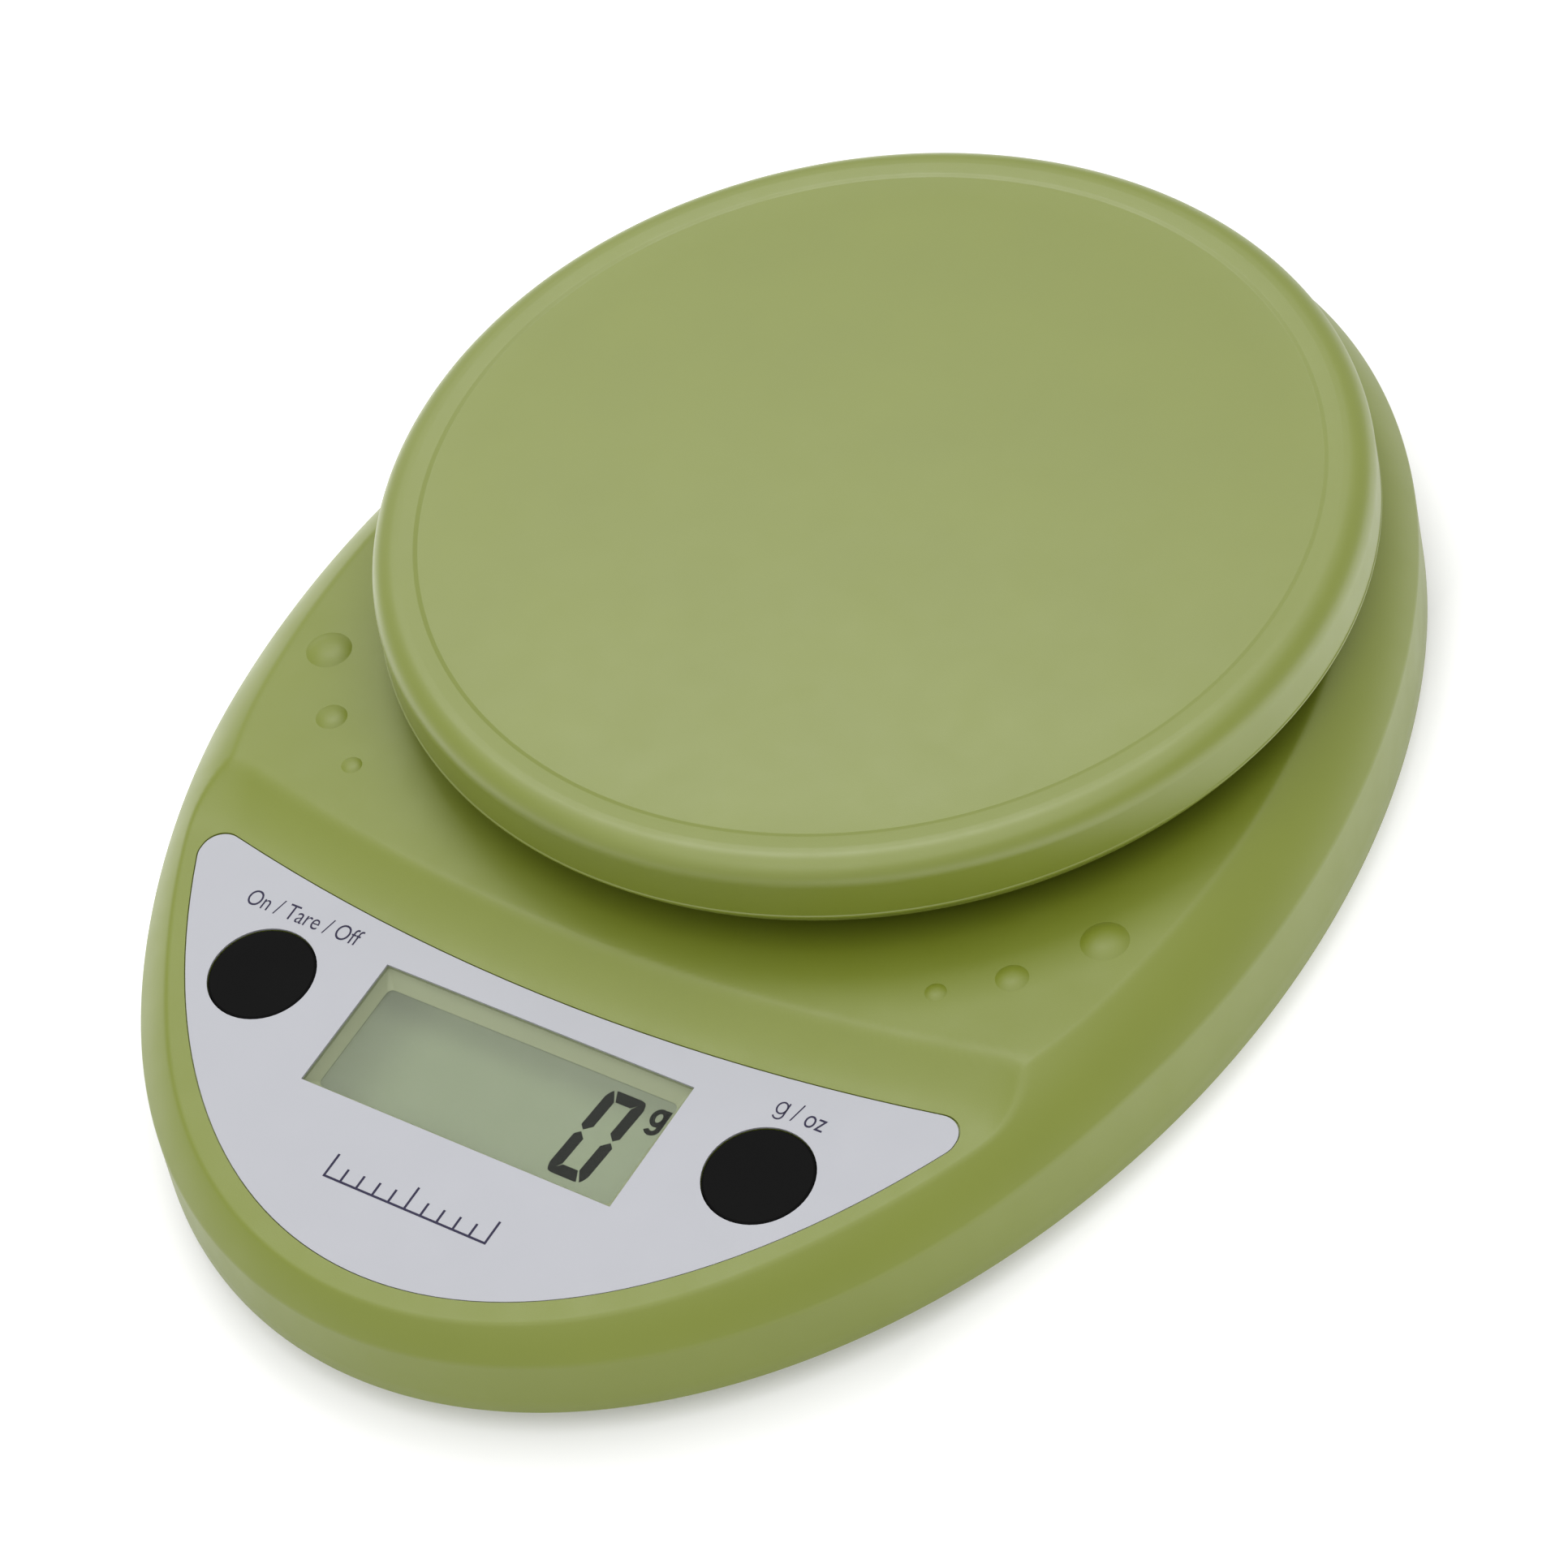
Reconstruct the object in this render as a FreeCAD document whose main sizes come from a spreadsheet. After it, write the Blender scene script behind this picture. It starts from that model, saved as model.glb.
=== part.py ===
import FreeCAD, Part
import math
import os
import Sketcher
from FreeCAD import Placement, Rotation, Vector

# A small bench scale: an oval body, a dished deck, a sloped panel with a display and two buttons,
# and a round platter carried by a bending beam. Millimetres, +Z up, -Y towards the person using it.
# The origin is under the middle of the oval, on the surface that the feet stand on.

PARTS_FOLDER = "parts"

SIZES = {
    # oval body
    "body_half_width": 76.8,
    "body_half_length": 107.0,
    "skirt_base": 4.0,
    "deck_top": 23.5,
    "shell_wall": 2.2,
    "shoulder_radius": 8.5,
    "crest_centre": 243.0,
    "crest_radius": 289.3,
    "crest_root_radius": 4.0,
    "panel_edge_radius": 4.0,
    # sloped panel, in a frame of its own that is tilted about X
    "panel_pivot": -67.0,
    "panel_height": 19.39,
    "panel_tilt": 2.92,
    "panel_depth": 0.3,
    "panel_proud": 0.05,
    "panel_half_width": 58.9,
    "panel_top_centre": 310.0,
    "panel_top_radius": 297.3,
    "panel_oval_centre": 106.5,
    "panel_oval_half_width": 78.6,
    "panel_oval_half_length": 140.0,
    "panel_corner_radius": 3.0,
    "panel_gap": 0.15,
    "window_width": 48.1,
    "window_length": 20.0,
    "window_centre": -1.45,
    "well_depth": 2.2,
    "well_wall": 1.4,
    "well_floor_width": 45.4,
    "well_floor_length": 16.8,
    "well_floor_centre": -1.85,
    "pane_margin": 1.2,
    "pane_thickness": 0.5,
    "glass_margin": 2.0,
    "glass_thickness": 2.2,
    "holder_margin": 3.8,
    "button_spacing": 38.8,
    "button_centre": 0.4,
    "button_radius": 7.2,
    "button_gap": 0.2,
    "button_bevel": 0.25,
    "button_flange_width": 1.6,
    "button_flange_height": 1.0,
    "button_post_radius": 2.0,
    # circuit board under the panel
    "board_top": -9.0,
    "board_thickness": 1.2,
    "board_half_width": 46.5,
    "board_front": -13.5,
    "board_back": 14.0,
    "board_screw_spacing": 43.0,
    "board_screw_front": -10.6,
    "board_screw_back": 11.6,
    "board_boss_radius": 2.3,
    "switch_half_width": 3.0,
    "switch_top": -5.7,
    "plunger_radius": 1.75,
    "plunger_top": -4.5,
    # tray under the body
    "tray_base": 1.4,
    "floor_top": 3.8,
    "tray_gap": 0.3,
    "rim_wall": 1.6,
    "rim_top": 8.6,
    "boss_radius": 4.4,
    "top_boss_radius": 3.2,
    "boss_meet": 9.2,
    "foot_radius": 5.0,
    "foot_height": 2.2,
    "foot_chamfer": 0.8,
    "foot_pocket_radius": 5.2,
    "foot_across": 44.0,
    "foot_rear": 62.0,
    "foot_front": -64.0,
    # battery bay
    "bay_half_width": 27.6,
    "bay_front": -41.2,
    "bay_back": -11.0,
    "bay_roof": 18.6,
    "bay_wall": 1.2,
    "cell_radius": 7.25,
    "cell_body": 49.4,
    "cell_nub": 1.0,
    "cell_pitch": 14.8,
    "cell_height": 11.1,
    "contact_sheet": 0.4,
    "door_travel": 6.0,
    "door_top": 3.0,
    "door_gap": 0.3,
    "door_ridge_half_width": 9.0,
    "door_ridge_pitch": 2.4,
    "tongue_base": 2.2,
    "tongue_width": 1.3,
    # platter and the beam that carries it
    "platter_centre": 26.8,
    "platter_radius": 67.76,
    "platter_parting": 29.2,
    "platter_top": 38.1,
    "platter_disc": 37.6,
    "platter_wall": 2.0,
    "platter_base_bottom": 27.4,
    "beam_half_width": 6.35,
    "beam_length": 64.0,
    "beam_bottom": 8.6,
    "beam_depth": 10.0,
    "beam_hole_radius": 4.0,
    "beam_hole_spacing": 7.0,
    "beam_plate": 2.0,
    "beam_end_overlap": 18.2,
    "beam_screw_inset": 5.0,
    "beam_screw_pitch": 8.0,
    "hub_radius": 13.0,
    "hub_gap": 1.2,
    "collar_wall": 1.6,
    "collar_rise": 1.2,
    "hub_wall": 1.8,
    "hub_floor": 2.4,
    "overload_gap": 0.6,
    "overload_stop_radius": 1.95,
    "rib_start": 18.0,
    "rib_thickness": 1.6,
    "rib_height": 3.4,
    # screws and what they pass through
    "drive_half_slot": 0.35,
    "case_screw_head_radius": 2.6,
    "case_screw_head_height": 1.8,
    "case_screw_seat": 4.4,
    "case_screw_radius": 1.3,
    "case_screw_tip": 14.4,
    "case_pilot_radius": 1.35,
    "case_pilot_end": 15.0,
    "case_head_bore_radius": 3.0,
    "case_shank_bore_radius": 1.6,
    "board_screw_head_radius": 2.0,
    "board_screw_head_height": 1.2,
    "board_screw_radius": 1.0,
    "board_screw_tip": -5.0,
    "board_pilot_radius": 1.05,
    "board_pilot_end": -4.5,
    "board_hole_radius": 1.2,
    "beam_screw_head_radius": 3.4,
    "beam_screw_head_height": 2.0,
    "beam_screw_seat": 4.0,
    "beam_screw_radius": 2.0,
    "beam_screw_tip": 14.0,
    "beam_hole_clearance": 2.2,
    "beam_head_bore_radius": 3.7,
    "beam_tap_radius": 2.05,
    "arm_screw_tip": 12.0,
    # contacts and wires
    "spring_strip": 0.35,
    "spring_half_width": 2.0,
    "contact_half_height": 5.5,
    "contact_half_width": 5.0,
    "lead_radius": 0.7,
    "cell_cable_radius": 1.1,
}

CASE_SCREW_PLACES = [(34.0, 82.0), (62.0, -30.0), (27.0, -88.0)]
BUMPS = [(61.3, -18.5, 6.4), (53.8, -28.6, 4.4), (46.2, -34.7, 2.9)]
SIDES = (("left", -1), ("right", 1))
CREST_FRONT = -47.0
BUMP_RISE = 0.115
DOOR_RIDGES = 4
PLATTER_RIBS = 8

doc = FreeCAD.newDocument("bench_scale")
sheet = doc.addObject("Spreadsheet::Sheet", "dimensions")
nodes = []


class Size:
    """A length that knows its number and the expression that ties it to the sheet."""

    def __init__(self, value, text):
        self.value = value
        self.text = text

    def __add__(self, other):
        other = as_size(other)
        return Size(self.value + other.value, f"({self.text} + {other.text})")

    def __sub__(self, other):
        other = as_size(other)
        return Size(self.value - other.value, f"({self.text} - {other.text})")

    def __mul__(self, other):
        other = as_size(other)
        return Size(self.value * other.value, f"({self.text} * {other.text})")

    def __neg__(self):
        return Size(-self.value, f"(0 - {self.text})")

    def __radd__(self, other):
        return as_size(other) + self

    def __rsub__(self, other):
        return as_size(other) - self

    def __rmul__(self, other):
        return as_size(other) * self


def as_size(number):
    if isinstance(number, Size):
        return number
    return Size(float(number), f"({number})")


def fill_sheet():
    for row, (alias, number) in enumerate(SIZES.items(), start=1):
        sheet.set(f"A{row}", alias)
        sheet.set(f"B{row}", str(number))
        sheet.setAlias(f"B{row}", alias)
    doc.recompute()
    return {alias: Size(number, f"dimensions.{alias}") for alias, number in SIZES.items()}


size = fill_sheet()


# ---- plain building blocks, all bound to the sheet ----

def bind(item, **sizes):
    for name, wanted in sizes.items():
        item.setExpression(name, as_size(wanted).text)
    return item


def place(item, x=0, y=0, z=0, turn=None):
    spot = [as_size(v) for v in (x, y, z)]
    item.Placement = Placement(Vector(*[v.value for v in spot]), turn or Rotation())
    for axis, wanted in zip("xyz", spot):
        item.setExpression(f"Placement.Base.{axis}", wanted.text)
    return item


def on_panel(item):
    """Moves something drawn in the panel's own frame to where the panel is."""
    turn = Rotation(Vector(1, 0, 0), size["panel_tilt"].value)
    place(item, 0, size["panel_pivot"], size["panel_height"], turn)
    item.setExpression("Placement.Rotation.Angle", size["panel_tilt"].text)
    return item


def block(name, x, y, z):
    """A box from three (low, high) pairs."""
    low, high = zip(*[(as_size(a), as_size(b)) for a, b in (x, y, z)])
    item = doc.addObject("Part::Box", name)
    bind(item, Length=high[0] - low[0], Width=high[1] - low[1], Height=high[2] - low[2])
    return place(item, *low)


def rod(name, radius, z, x=0, y=0):
    """An upright cylinder between two heights."""
    low, high = (as_size(v) for v in z)
    item = doc.addObject("Part::Cylinder", name)
    bind(item, Radius=radius, Height=high - low)
    return place(item, x, y, low)


def lying_rod(name, radius, x, y, z):
    """A cylinder along X between two stations."""
    low, high = (as_size(v) for v in x)
    item = doc.addObject("Part::Cylinder", name)
    bind(item, Radius=radius, Height=high - low)
    return place(item, low, y, z, Rotation(Vector(0, 1, 0), 90))


def oval(name, half_width, half_length, z):
    """An upright prism on an ellipse whose long axis is Y."""
    low, high = (as_size(v) for v in z)
    curve = doc.addObject("Part::Ellipse", name + "_curve")
    bind(curve, MajorRadius=half_length, MinorRadius=half_width)
    place(curve, 0, 0, low, Rotation(Vector(0, 0, 1), 90))
    prism = doc.addObject("Part::Extrusion", name)
    prism.Base = curve
    prism.DirMode = "Custom"
    prism.Dir = Vector(0, 0, 1)
    prism.Solid = True
    return bind(prism, LengthFwd=high - low)


def fuse(name, *shapes):
    item = doc.addObject("Part::MultiFuse", name)
    item.Shapes = list(shapes)
    item.Refine = False
    return item


def group(name, *shapes):
    item = doc.addObject("Part::Compound", name)
    item.Links = list(shapes)
    return item


def cut(name, base, *tools):
    item = doc.addObject("Part::Cut", name)
    item.Base = base
    item.Tool = tools[0] if len(tools) == 1 else group(name + "_tools", *tools)
    item.Refine = False
    return item


def common(name, base, tool):
    item = doc.addObject("Part::Common", name)
    item.Base = base
    item.Tool = tool
    item.Refine = False
    return item


def round_edges(name, base, radius, chosen):
    """Rounds the edges of base for which chosen(edge) holds, and those that run on smoothly from them."""
    doc.recompute()
    edges = [i for i, edge in enumerate(base.Shape.Edges, start=1) if chosen(edge)]
    if not edges:
        raise ValueError(f"{name}: no edge to round")
    item = doc.addObject("Part::Fillet", name)
    item.Base = base
    item.Edges = [(i, radius.value, radius.value) for i in edges]
    doc.recompute()
    return item


def node(name, item):
    """Marks a finished sub-part: its label names its file."""
    item.Label = name
    nodes.append(item)
    return item


def midpoint(edge):
    return edge.valueAt((edge.FirstParameter + edge.LastParameter) / 2)


def upright(edge):
    box = edge.BoundBox
    return box.XLength < 1e-6 and box.YLength < 1e-6


def outline_sketch(body, name, plane_role, points):
    """A closed outline of straight runs, each corner held by its two distances from the origin."""
    plane = next(f for f in body.Origin.OriginFeatures if f.Role == plane_role)
    sketch = body.newObject("Sketcher::SketchObject", name)
    sketch.AttachmentSupport = (plane, [""])
    sketch.MapMode = "FlatFace"
    corners = [(as_size(u), as_size(v)) for u, v in points]
    spots = [Vector(u.value, v.value, 0) for u, v in corners]
    for start, end in zip(spots, spots[1:] + spots[:1]):
        sketch.addGeometry(Part.LineSegment(start, end), False)
    count = len(corners)
    for i in range(count):
        sketch.addConstraint(Sketcher.Constraint("Coincident", i, 2, (i + 1) % count, 1))
    for i, corner in enumerate(corners):
        for kind, axis, wanted in (("DistanceX", -2, corner[0]), ("DistanceY", -1, corner[1])):
            if abs(wanted.value) < 1e-9:
                sketch.addConstraint(Sketcher.Constraint("PointOnObject", i, 1, axis))
                continue
            index = sketch.addConstraint(Sketcher.Constraint(kind, -1, 1, i, 1, wanted.value))
            sketch.setExpression(f"Constraints[{index}]", wanted.text)
    return sketch


def turned(name, profile):
    """A body turned about its own Z axis from (radius, height) corners."""
    body = doc.addObject("PartDesign::Body", name)
    sketch = outline_sketch(body, name + "_profile", "XZ_Plane", profile)
    spin = body.newObject("PartDesign::Revolution", name + "_spin")
    spin.Profile = sketch
    spin.ReferenceAxis = (sketch, ["V_Axis"])
    spin.Angle = 360
    body.Tip = spin
    doc.recompute()
    return body


def padded(name, outline, z):
    """A body padded along Z from an outline in the XY plane."""
    low, high = (as_size(v) for v in z)
    body = doc.addObject("PartDesign::Body", name)
    sketch = outline_sketch(body, name + "_outline", "XY_Plane", outline)
    bind(sketch, **{"AttachmentOffset.Base.z": low})
    pad = body.newObject("PartDesign::Pad", name + "_pad")
    pad.Profile = sketch
    bind(pad, Length=high - low)
    body.Tip = pad
    doc.recompute()
    return body


def round_body(body, radius, chosen):
    """Adds a rounding feature to a body, on the edges for which chosen(edge) holds."""
    doc.recompute()
    tip = body.Tip
    names = [f"Edge{i}" for i, edge in enumerate(tip.Shape.Edges, start=1) if chosen(edge)]
    fillet = body.newObject("PartDesign::Fillet", body.Name + "_round")
    fillet.Base = (tip, names)
    bind(fillet, Radius=radius)
    body.Tip = fillet
    doc.recompute()
    return body


def rectangle(x, y):
    return [(x[0], y[0]), (x[1], y[0]), (x[1], y[1]), (x[0], y[1])]


# ---- oval shells ----

def housing(name, inset, base):
    """The closed body form, drawn in from the outside surface by inset. The cavity leaves out roundings."""
    top = size["deck_top"] - inset
    half_width = size["body_half_width"] - inset
    half_length = size["body_half_length"] - inset
    prism = oval(name + "_prism", half_width, half_length, (base, top))
    shoulder = round_edges(
        name + "_shoulder",
        prism,
        size["shoulder_radius"] - inset,
        lambda e: abs(e.BoundBox.ZMin - top.value) < 1e-3 and e.Length > 50,
    )
    plane_height = size["panel_proud"] - inset
    slab = block(name + "_slab", (-100, 100), (-60, 60), (plane_height, 40))
    above = group(name + "_above", slab)
    on_panel(above)
    cone = doc.addObject("Part::Cone", name + "_cone")
    over = 20
    reach = size["crest_radius"] - inset
    bind(cone, Radius1=reach + top, Radius2=reach - over, Height=top + over)
    place(cone, 0, size["crest_centre"], 0)
    lowered = cut(name + "_lowered", shoulder, cut(name + "_front", above, cone))
    return lowered, reach, top, plane_height


def crest_distance(point, reach, top):
    """How far a point lies from the conical slope between the deck and the panel."""
    radius = math.hypot(point.x, point.y - SIZES["crest_centre"])
    return abs(radius - (reach.value + top.value - point.z))


def panel_distance(point, plane_height):
    tilt = math.radians(SIZES["panel_tilt"])
    rise = (point.z - SIZES["panel_height"]) * math.cos(tilt)
    return abs(rise - (point.y - SIZES["panel_pivot"]) * math.sin(tilt) - plane_height.value)


def outer_housing():
    lowered, reach, top, plane_height = housing("outer", as_size(0), size["skirt_base"])

    def in_root(edge):
        point = midpoint(edge)
        return panel_distance(point, plane_height) < 0.05 and crest_distance(point, reach, top) < 0.05

    def on_panel_edge(edge):
        point = midpoint(edge)
        return edge.Length > 100 and point.y < -80 and panel_distance(point, plane_height) < 0.5

    root = round_edges("outer_root", lowered, size["crest_root_radius"], in_root)
    return round_edges("outer_edge", root, size["panel_edge_radius"], on_panel_edge)


def mirrored_rods(name, radius, z, places):
    """Upright rods at each place and at its mirror image across the YZ plane."""
    return [
        rod(f"{name}_{side}_{i}", radius, z, x * sign, y)
        for i, (x, y) in enumerate(places)
        for side, sign in SIDES
    ]


def panel_height_at(y):
    """The height of the panel's plane at a Y of the body's frame."""
    return size["panel_height"] + (y - size["panel_pivot"]) * math.tan(math.radians(SIZES["panel_tilt"]))


def board_screw_places():
    across = size["board_screw_spacing"]
    return [(across, size["board_screw_front"]), (across, size["board_screw_back"])]


def panel_form(name, grow, z):
    """The panel's outline as a prism in the panel's own frame: an oval below, an arc above, blunt ends."""
    low, high = (as_size(v) for v in z)
    half_width = size["panel_half_width"] + grow
    lower = oval(
        name + "_lower",
        size["panel_oval_half_width"] + grow,
        size["panel_oval_half_length"] + grow,
        (low, high),
    )
    place(lower, 0, size["panel_oval_centre"], 0)
    front = block(name + "_span", (-half_width, half_width), (-45, 25), (low, high))
    arc_radius = size["panel_top_radius"] - grow
    arc = rod(name + "_arc", arc_radius, (low - 1, high + 1), 0, size["panel_top_centre"])
    plain = cut(name + "_plain", common(name + "_oval", lower, front), arc)
    return round_edges(
        name, plain, size["panel_corner_radius"], lambda e: upright(e) and abs(midpoint(e).x) > 50
    )


def window_box(name, grow, z):
    half_width = size["window_width"] * 0.5 + grow
    half_length = size["window_length"] * 0.5 + grow
    centre = size["window_centre"]
    return block(name, (-half_width, half_width), (centre - half_length, centre + half_length), z)


def well_taper(name, z):
    """The sloping sides of the display well, from the window's size down to the smaller opening below."""
    low, high = (as_size(v) for v in z)
    centre = size["window_centre"]
    offset = size["well_floor_centre"] - centre
    floor_half = size["well_floor_length"] * 0.5
    window_half = size["window_length"] * 0.5
    item = doc.addObject("Part::Wedge", name)
    bind(
        item,
        Xmin=-size["well_floor_width"] * 0.5,
        Xmax=size["well_floor_width"] * 0.5,
        Ymin=low,
        Ymax=high,
        Zmin=-floor_half - offset,
        Zmax=floor_half - offset,
        X2min=-size["window_width"] * 0.5,
        X2max=size["window_width"] * 0.5,
        Z2min=-window_half,
        Z2max=window_half,
    )
    return place(item, 0, centre, 0, Rotation(Vector(1, 0, 0), 90))


def button_holes(name, radius, z):
    return mirrored_rods(name, radius, z, [(size["button_spacing"], size["button_centre"])])


def dome(name, x, y, diameter):
    """A low drop-shaped bump: the top of a sphere that dips into the deck."""
    rise = BUMP_RISE * diameter
    radius = (diameter * diameter / 4 + rise * rise) / (2 * rise)
    ball = doc.addObject("Part::Sphere", name + "_ball")
    bind(ball, Radius=radius)
    place(ball, x, y, size["deck_top"] + (rise - radius))
    around_x = (x - diameter, x + diameter)
    around_y = (y - diameter, y + diameter)
    slab = block(name + "_slab", around_x, around_y, (size["deck_top"] - 1, size["deck_top"] + 1))
    return common(name, ball, slab)


def hub_place():
    """The Y of the beam's free end, where the platter's hub comes down through the deck."""
    free_end = size["platter_centre"] - size["beam_length"] * 0.5
    return free_end + size["beam_screw_inset"] + size["beam_screw_pitch"] * 0.5


def make_top_case():
    outer = outer_housing()
    cavity = housing("cavity", size["shell_wall"], size["skirt_base"] - 1)[0]
    shell = cut("top_shell", outer, cavity)

    mid_skin = size["shell_wall"] * 0.5
    bosses = []
    for i, (x, y) in enumerate(CASE_SCREW_PLACES):
        roof = size["deck_top"] if y > CREST_FRONT else panel_height_at(y)
        height = (size["boss_meet"], roof - mid_skin)
        bosses += mirrored_rods(f"top_boss_{i}", size["top_boss_radius"], height, [(x, y)])
    under_skin = size["panel_proud"] - mid_skin
    board_bosses = mirrored_rods(
        "board_boss", size["board_boss_radius"], (size["board_top"], under_skin), board_screw_places()
    )
    well = window_box("well_block", size["well_wall"], (-size["well_depth"], under_skin))
    under_panel = on_panel(group("under_panel", well, *board_bosses))
    deck = size["deck_top"]
    hub_y = hub_place()
    hole = size["hub_radius"] + size["hub_gap"]
    collar_z = (deck - size["shell_wall"], deck + size["collar_rise"])
    collar = rod("deck_collar", hole + size["collar_wall"], collar_z, 0, hub_y)
    domes = [
        dome(f"bump_{side}_{i}", x * sign, y, diameter)
        for i, (x, y, diameter) in enumerate(BUMPS)
        for side, sign in SIDES
    ]
    solid = fuse("top_solid", shell, *bosses, under_panel, collar, *domes)

    recess = panel_form("panel_recess", size["panel_gap"], (-size["panel_depth"], 2))
    ledge_margin = size["pane_margin"] + size["panel_gap"]
    ledge_floor = -size["panel_depth"] - size["pane_thickness"] - 0.05
    ledge = window_box("pane_ledge", ledge_margin, (ledge_floor, 0))
    well_hole = well_taper("well_hole", (-size["well_depth"], ledge_floor))
    bores = button_holes("button_bore", size["button_radius"] + size["button_gap"], (-4, 1))
    pilot_z = (size["board_top"] - 1, size["board_pilot_end"])
    pilots = mirrored_rods("board_pilot", size["board_pilot_radius"], pilot_z, board_screw_places())
    on_slope = on_panel(group("panel_tools", recess, ledge, well_hole, *bores, *pilots))
    screw_z = (size["boss_meet"] - 1, size["case_pilot_end"])
    screw_holes = mirrored_rods("top_pilot", size["case_pilot_radius"], screw_z, CASE_SCREW_PLACES)
    hub_hole = rod("hub_hole", hole, (deck - 5, deck + 5), 0, hub_y)
    node("top_case", cut("top_case", solid, on_slope, hub_hole, *screw_holes))


def foot_places():
    return [
        (f"foot_{end}_{side}", sign * size["foot_across"], size[f"foot_{end}"])
        for end in ("front", "rear")
        for side, sign in SIDES
    ]


def bay_box(name, grow, z, front_extra=0):
    half = size["bay_half_width"] + grow
    front = size["bay_front"] - grow - front_extra
    return block(name, (-half, half), (front, size["bay_back"] + grow), z)


def make_bottom_case():
    base = size["tray_base"]
    floor = size["floor_top"]
    inset = size["shell_wall"] + size["tray_gap"]
    half_width = size["body_half_width"] - inset
    half_length = size["body_half_length"] - inset
    plate = oval("tray_plate", half_width, half_length, (base, floor))
    plate = round_edges(
        "tray_plate_round", plate, as_size(1.0), lambda e: abs(e.BoundBox.ZMax - base.value) < 1e-3
    )
    rim_outer = oval("tray_rim_outer", half_width, half_length, (floor, size["rim_top"]))
    wall = size["rim_wall"]
    rim_z = (floor, size["rim_top"] + 1)
    rim_inner = oval("tray_rim_inner", half_width - wall, half_length - wall, rim_z)
    rim = cut("tray_rim", rim_outer, rim_inner)
    boss_z = (floor, size["boss_meet"])
    bosses = mirrored_rods("tray_boss", size["boss_radius"], boss_z, CASE_SCREW_PLACES)
    tub = bay_box("bay_tub", size["bay_wall"], (floor, size["bay_roof"] + size["bay_wall"]))
    scoop_roof = block(
        "scoop_roof",
        (-size["bay_half_width"] - 2, size["bay_half_width"] + 2),
        (size["bay_front"] - size["door_travel"] - 2, size["bay_front"]),
        (floor, floor + 1.2),
    )
    fixed_end = size["platter_centre"] + size["beam_length"] * 0.5
    mount_half = size["beam_half_width"] + 2.5
    mount_y = (fixed_end - size["beam_end_overlap"], fixed_end + 2)
    spacer_bottom = size["beam_bottom"] - size["beam_plate"]
    mount = block("beam_mount", (-mount_half, mount_half), mount_y, (floor, spacer_bottom))
    stop_boss = rod("stop_boss", 4.0, (floor, 6.4), 0, hub_place())
    solid = fuse("tray_solid", plate, rim, *bosses, tub, scoop_roof, mount, stop_boss)

    slot_z = (base - 1, size["door_top"] + 0.1)
    door_slot = bay_box("door_slot", as_size(0), slot_z, size["door_travel"] + size["door_gap"])
    bay = bay_box("bay_space", as_size(0), (size["door_top"], size["bay_roof"]))
    groove_half = size["bay_half_width"] + size["tongue_width"]
    groove = block(
        "tongue_groove",
        (-groove_half, groove_half),
        (size["bay_front"] - size["door_travel"] + 2.7, size["bay_back"] - 2.7),
        (size["tongue_base"] - 0.1, size["door_top"] + 0.1),
    )
    tabs = [
        block(f"tab_slot_{i}", (size["bay_half_width"] - 1, 33), (y - 1.8, y + 1.8), (12.8, 16.2))
        for i, y in enumerate(cell_rows())
    ]
    bay_tools = fuse("bay_tools", door_slot, bay, groove, *tabs)
    feet = [
        rod(f"pocket_{name}", size["foot_pocket_radius"], (0, size["foot_height"]), x, y)
        for name, x, y in foot_places()
    ]
    head_z = (base - 1, size["case_screw_seat"])
    heads = mirrored_rods("case_head_bore", size["case_head_bore_radius"], head_z, CASE_SCREW_PLACES)
    shank_z = (floor, size["boss_meet"] + 1)
    shanks = mirrored_rods("case_shank_bore", size["case_shank_bore_radius"], shank_z, CASE_SCREW_PLACES)
    seat = size["beam_screw_seat"]
    holes = []
    for i, y in enumerate(base_screw_rows()):
        holes.append(rod(f"beam_head_bore_{i}", size["beam_head_bore_radius"], (base - 1, seat), 0, y))
        holes.append(rod(f"beam_shank_bore_{i}", size["beam_hole_clearance"], (seat - 0.5, 9), 0, y))
    stop_hole = rod("stop_bore", 2.0, (base - 1, 7), 0, hub_place())
    drilled = fuse("tray_bores", *heads, *shanks, *holes, stop_hole)
    node("bottom_case", cut("bottom_case", solid, bay_tools, drilled, *feet))


def make_feet():
    radius = size["foot_radius"]
    height = size["foot_height"]
    chamfer = size["foot_chamfer"]
    for name, x, y in foot_places():
        profile = [(0, 0), (radius - chamfer, 0), (radius, chamfer), (radius, height), (0, height)]
        node(name, place(turned(name, profile), x, y, 0))


def screw(name, head_radius, head, shank_radius, tip, x, y):
    """A flat head from head[0] to head[1] and a plain shank on to tip. A cross is cut in the head."""
    outer, seat = (as_size(v) for v in head)
    upward = as_size(tip).value > seat.value
    shank = rod(name + "_shank", shank_radius, (seat, tip) if upward else (tip, seat), x, y)
    crown = rod(name + "_crown", head_radius, (outer, seat) if upward else (seat, outer), x, y)
    body = fuse(name + "_body", shank, crown)
    depth = 0.9
    z = (outer - 1, outer + depth) if upward else (outer - depth, outer + 1)
    arm = head_radius * 0.62
    half = size["drive_half_slot"]
    x, y = as_size(x), as_size(y)
    first = block(name + "_slot_x", (x - arm, x + arm), (y - half, y + half), z)
    second = block(name + "_slot_y", (x - half, x + half), (y - arm, y + arm), z)
    return cut(name, body, fuse(name + "_cross", first, second))


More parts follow.
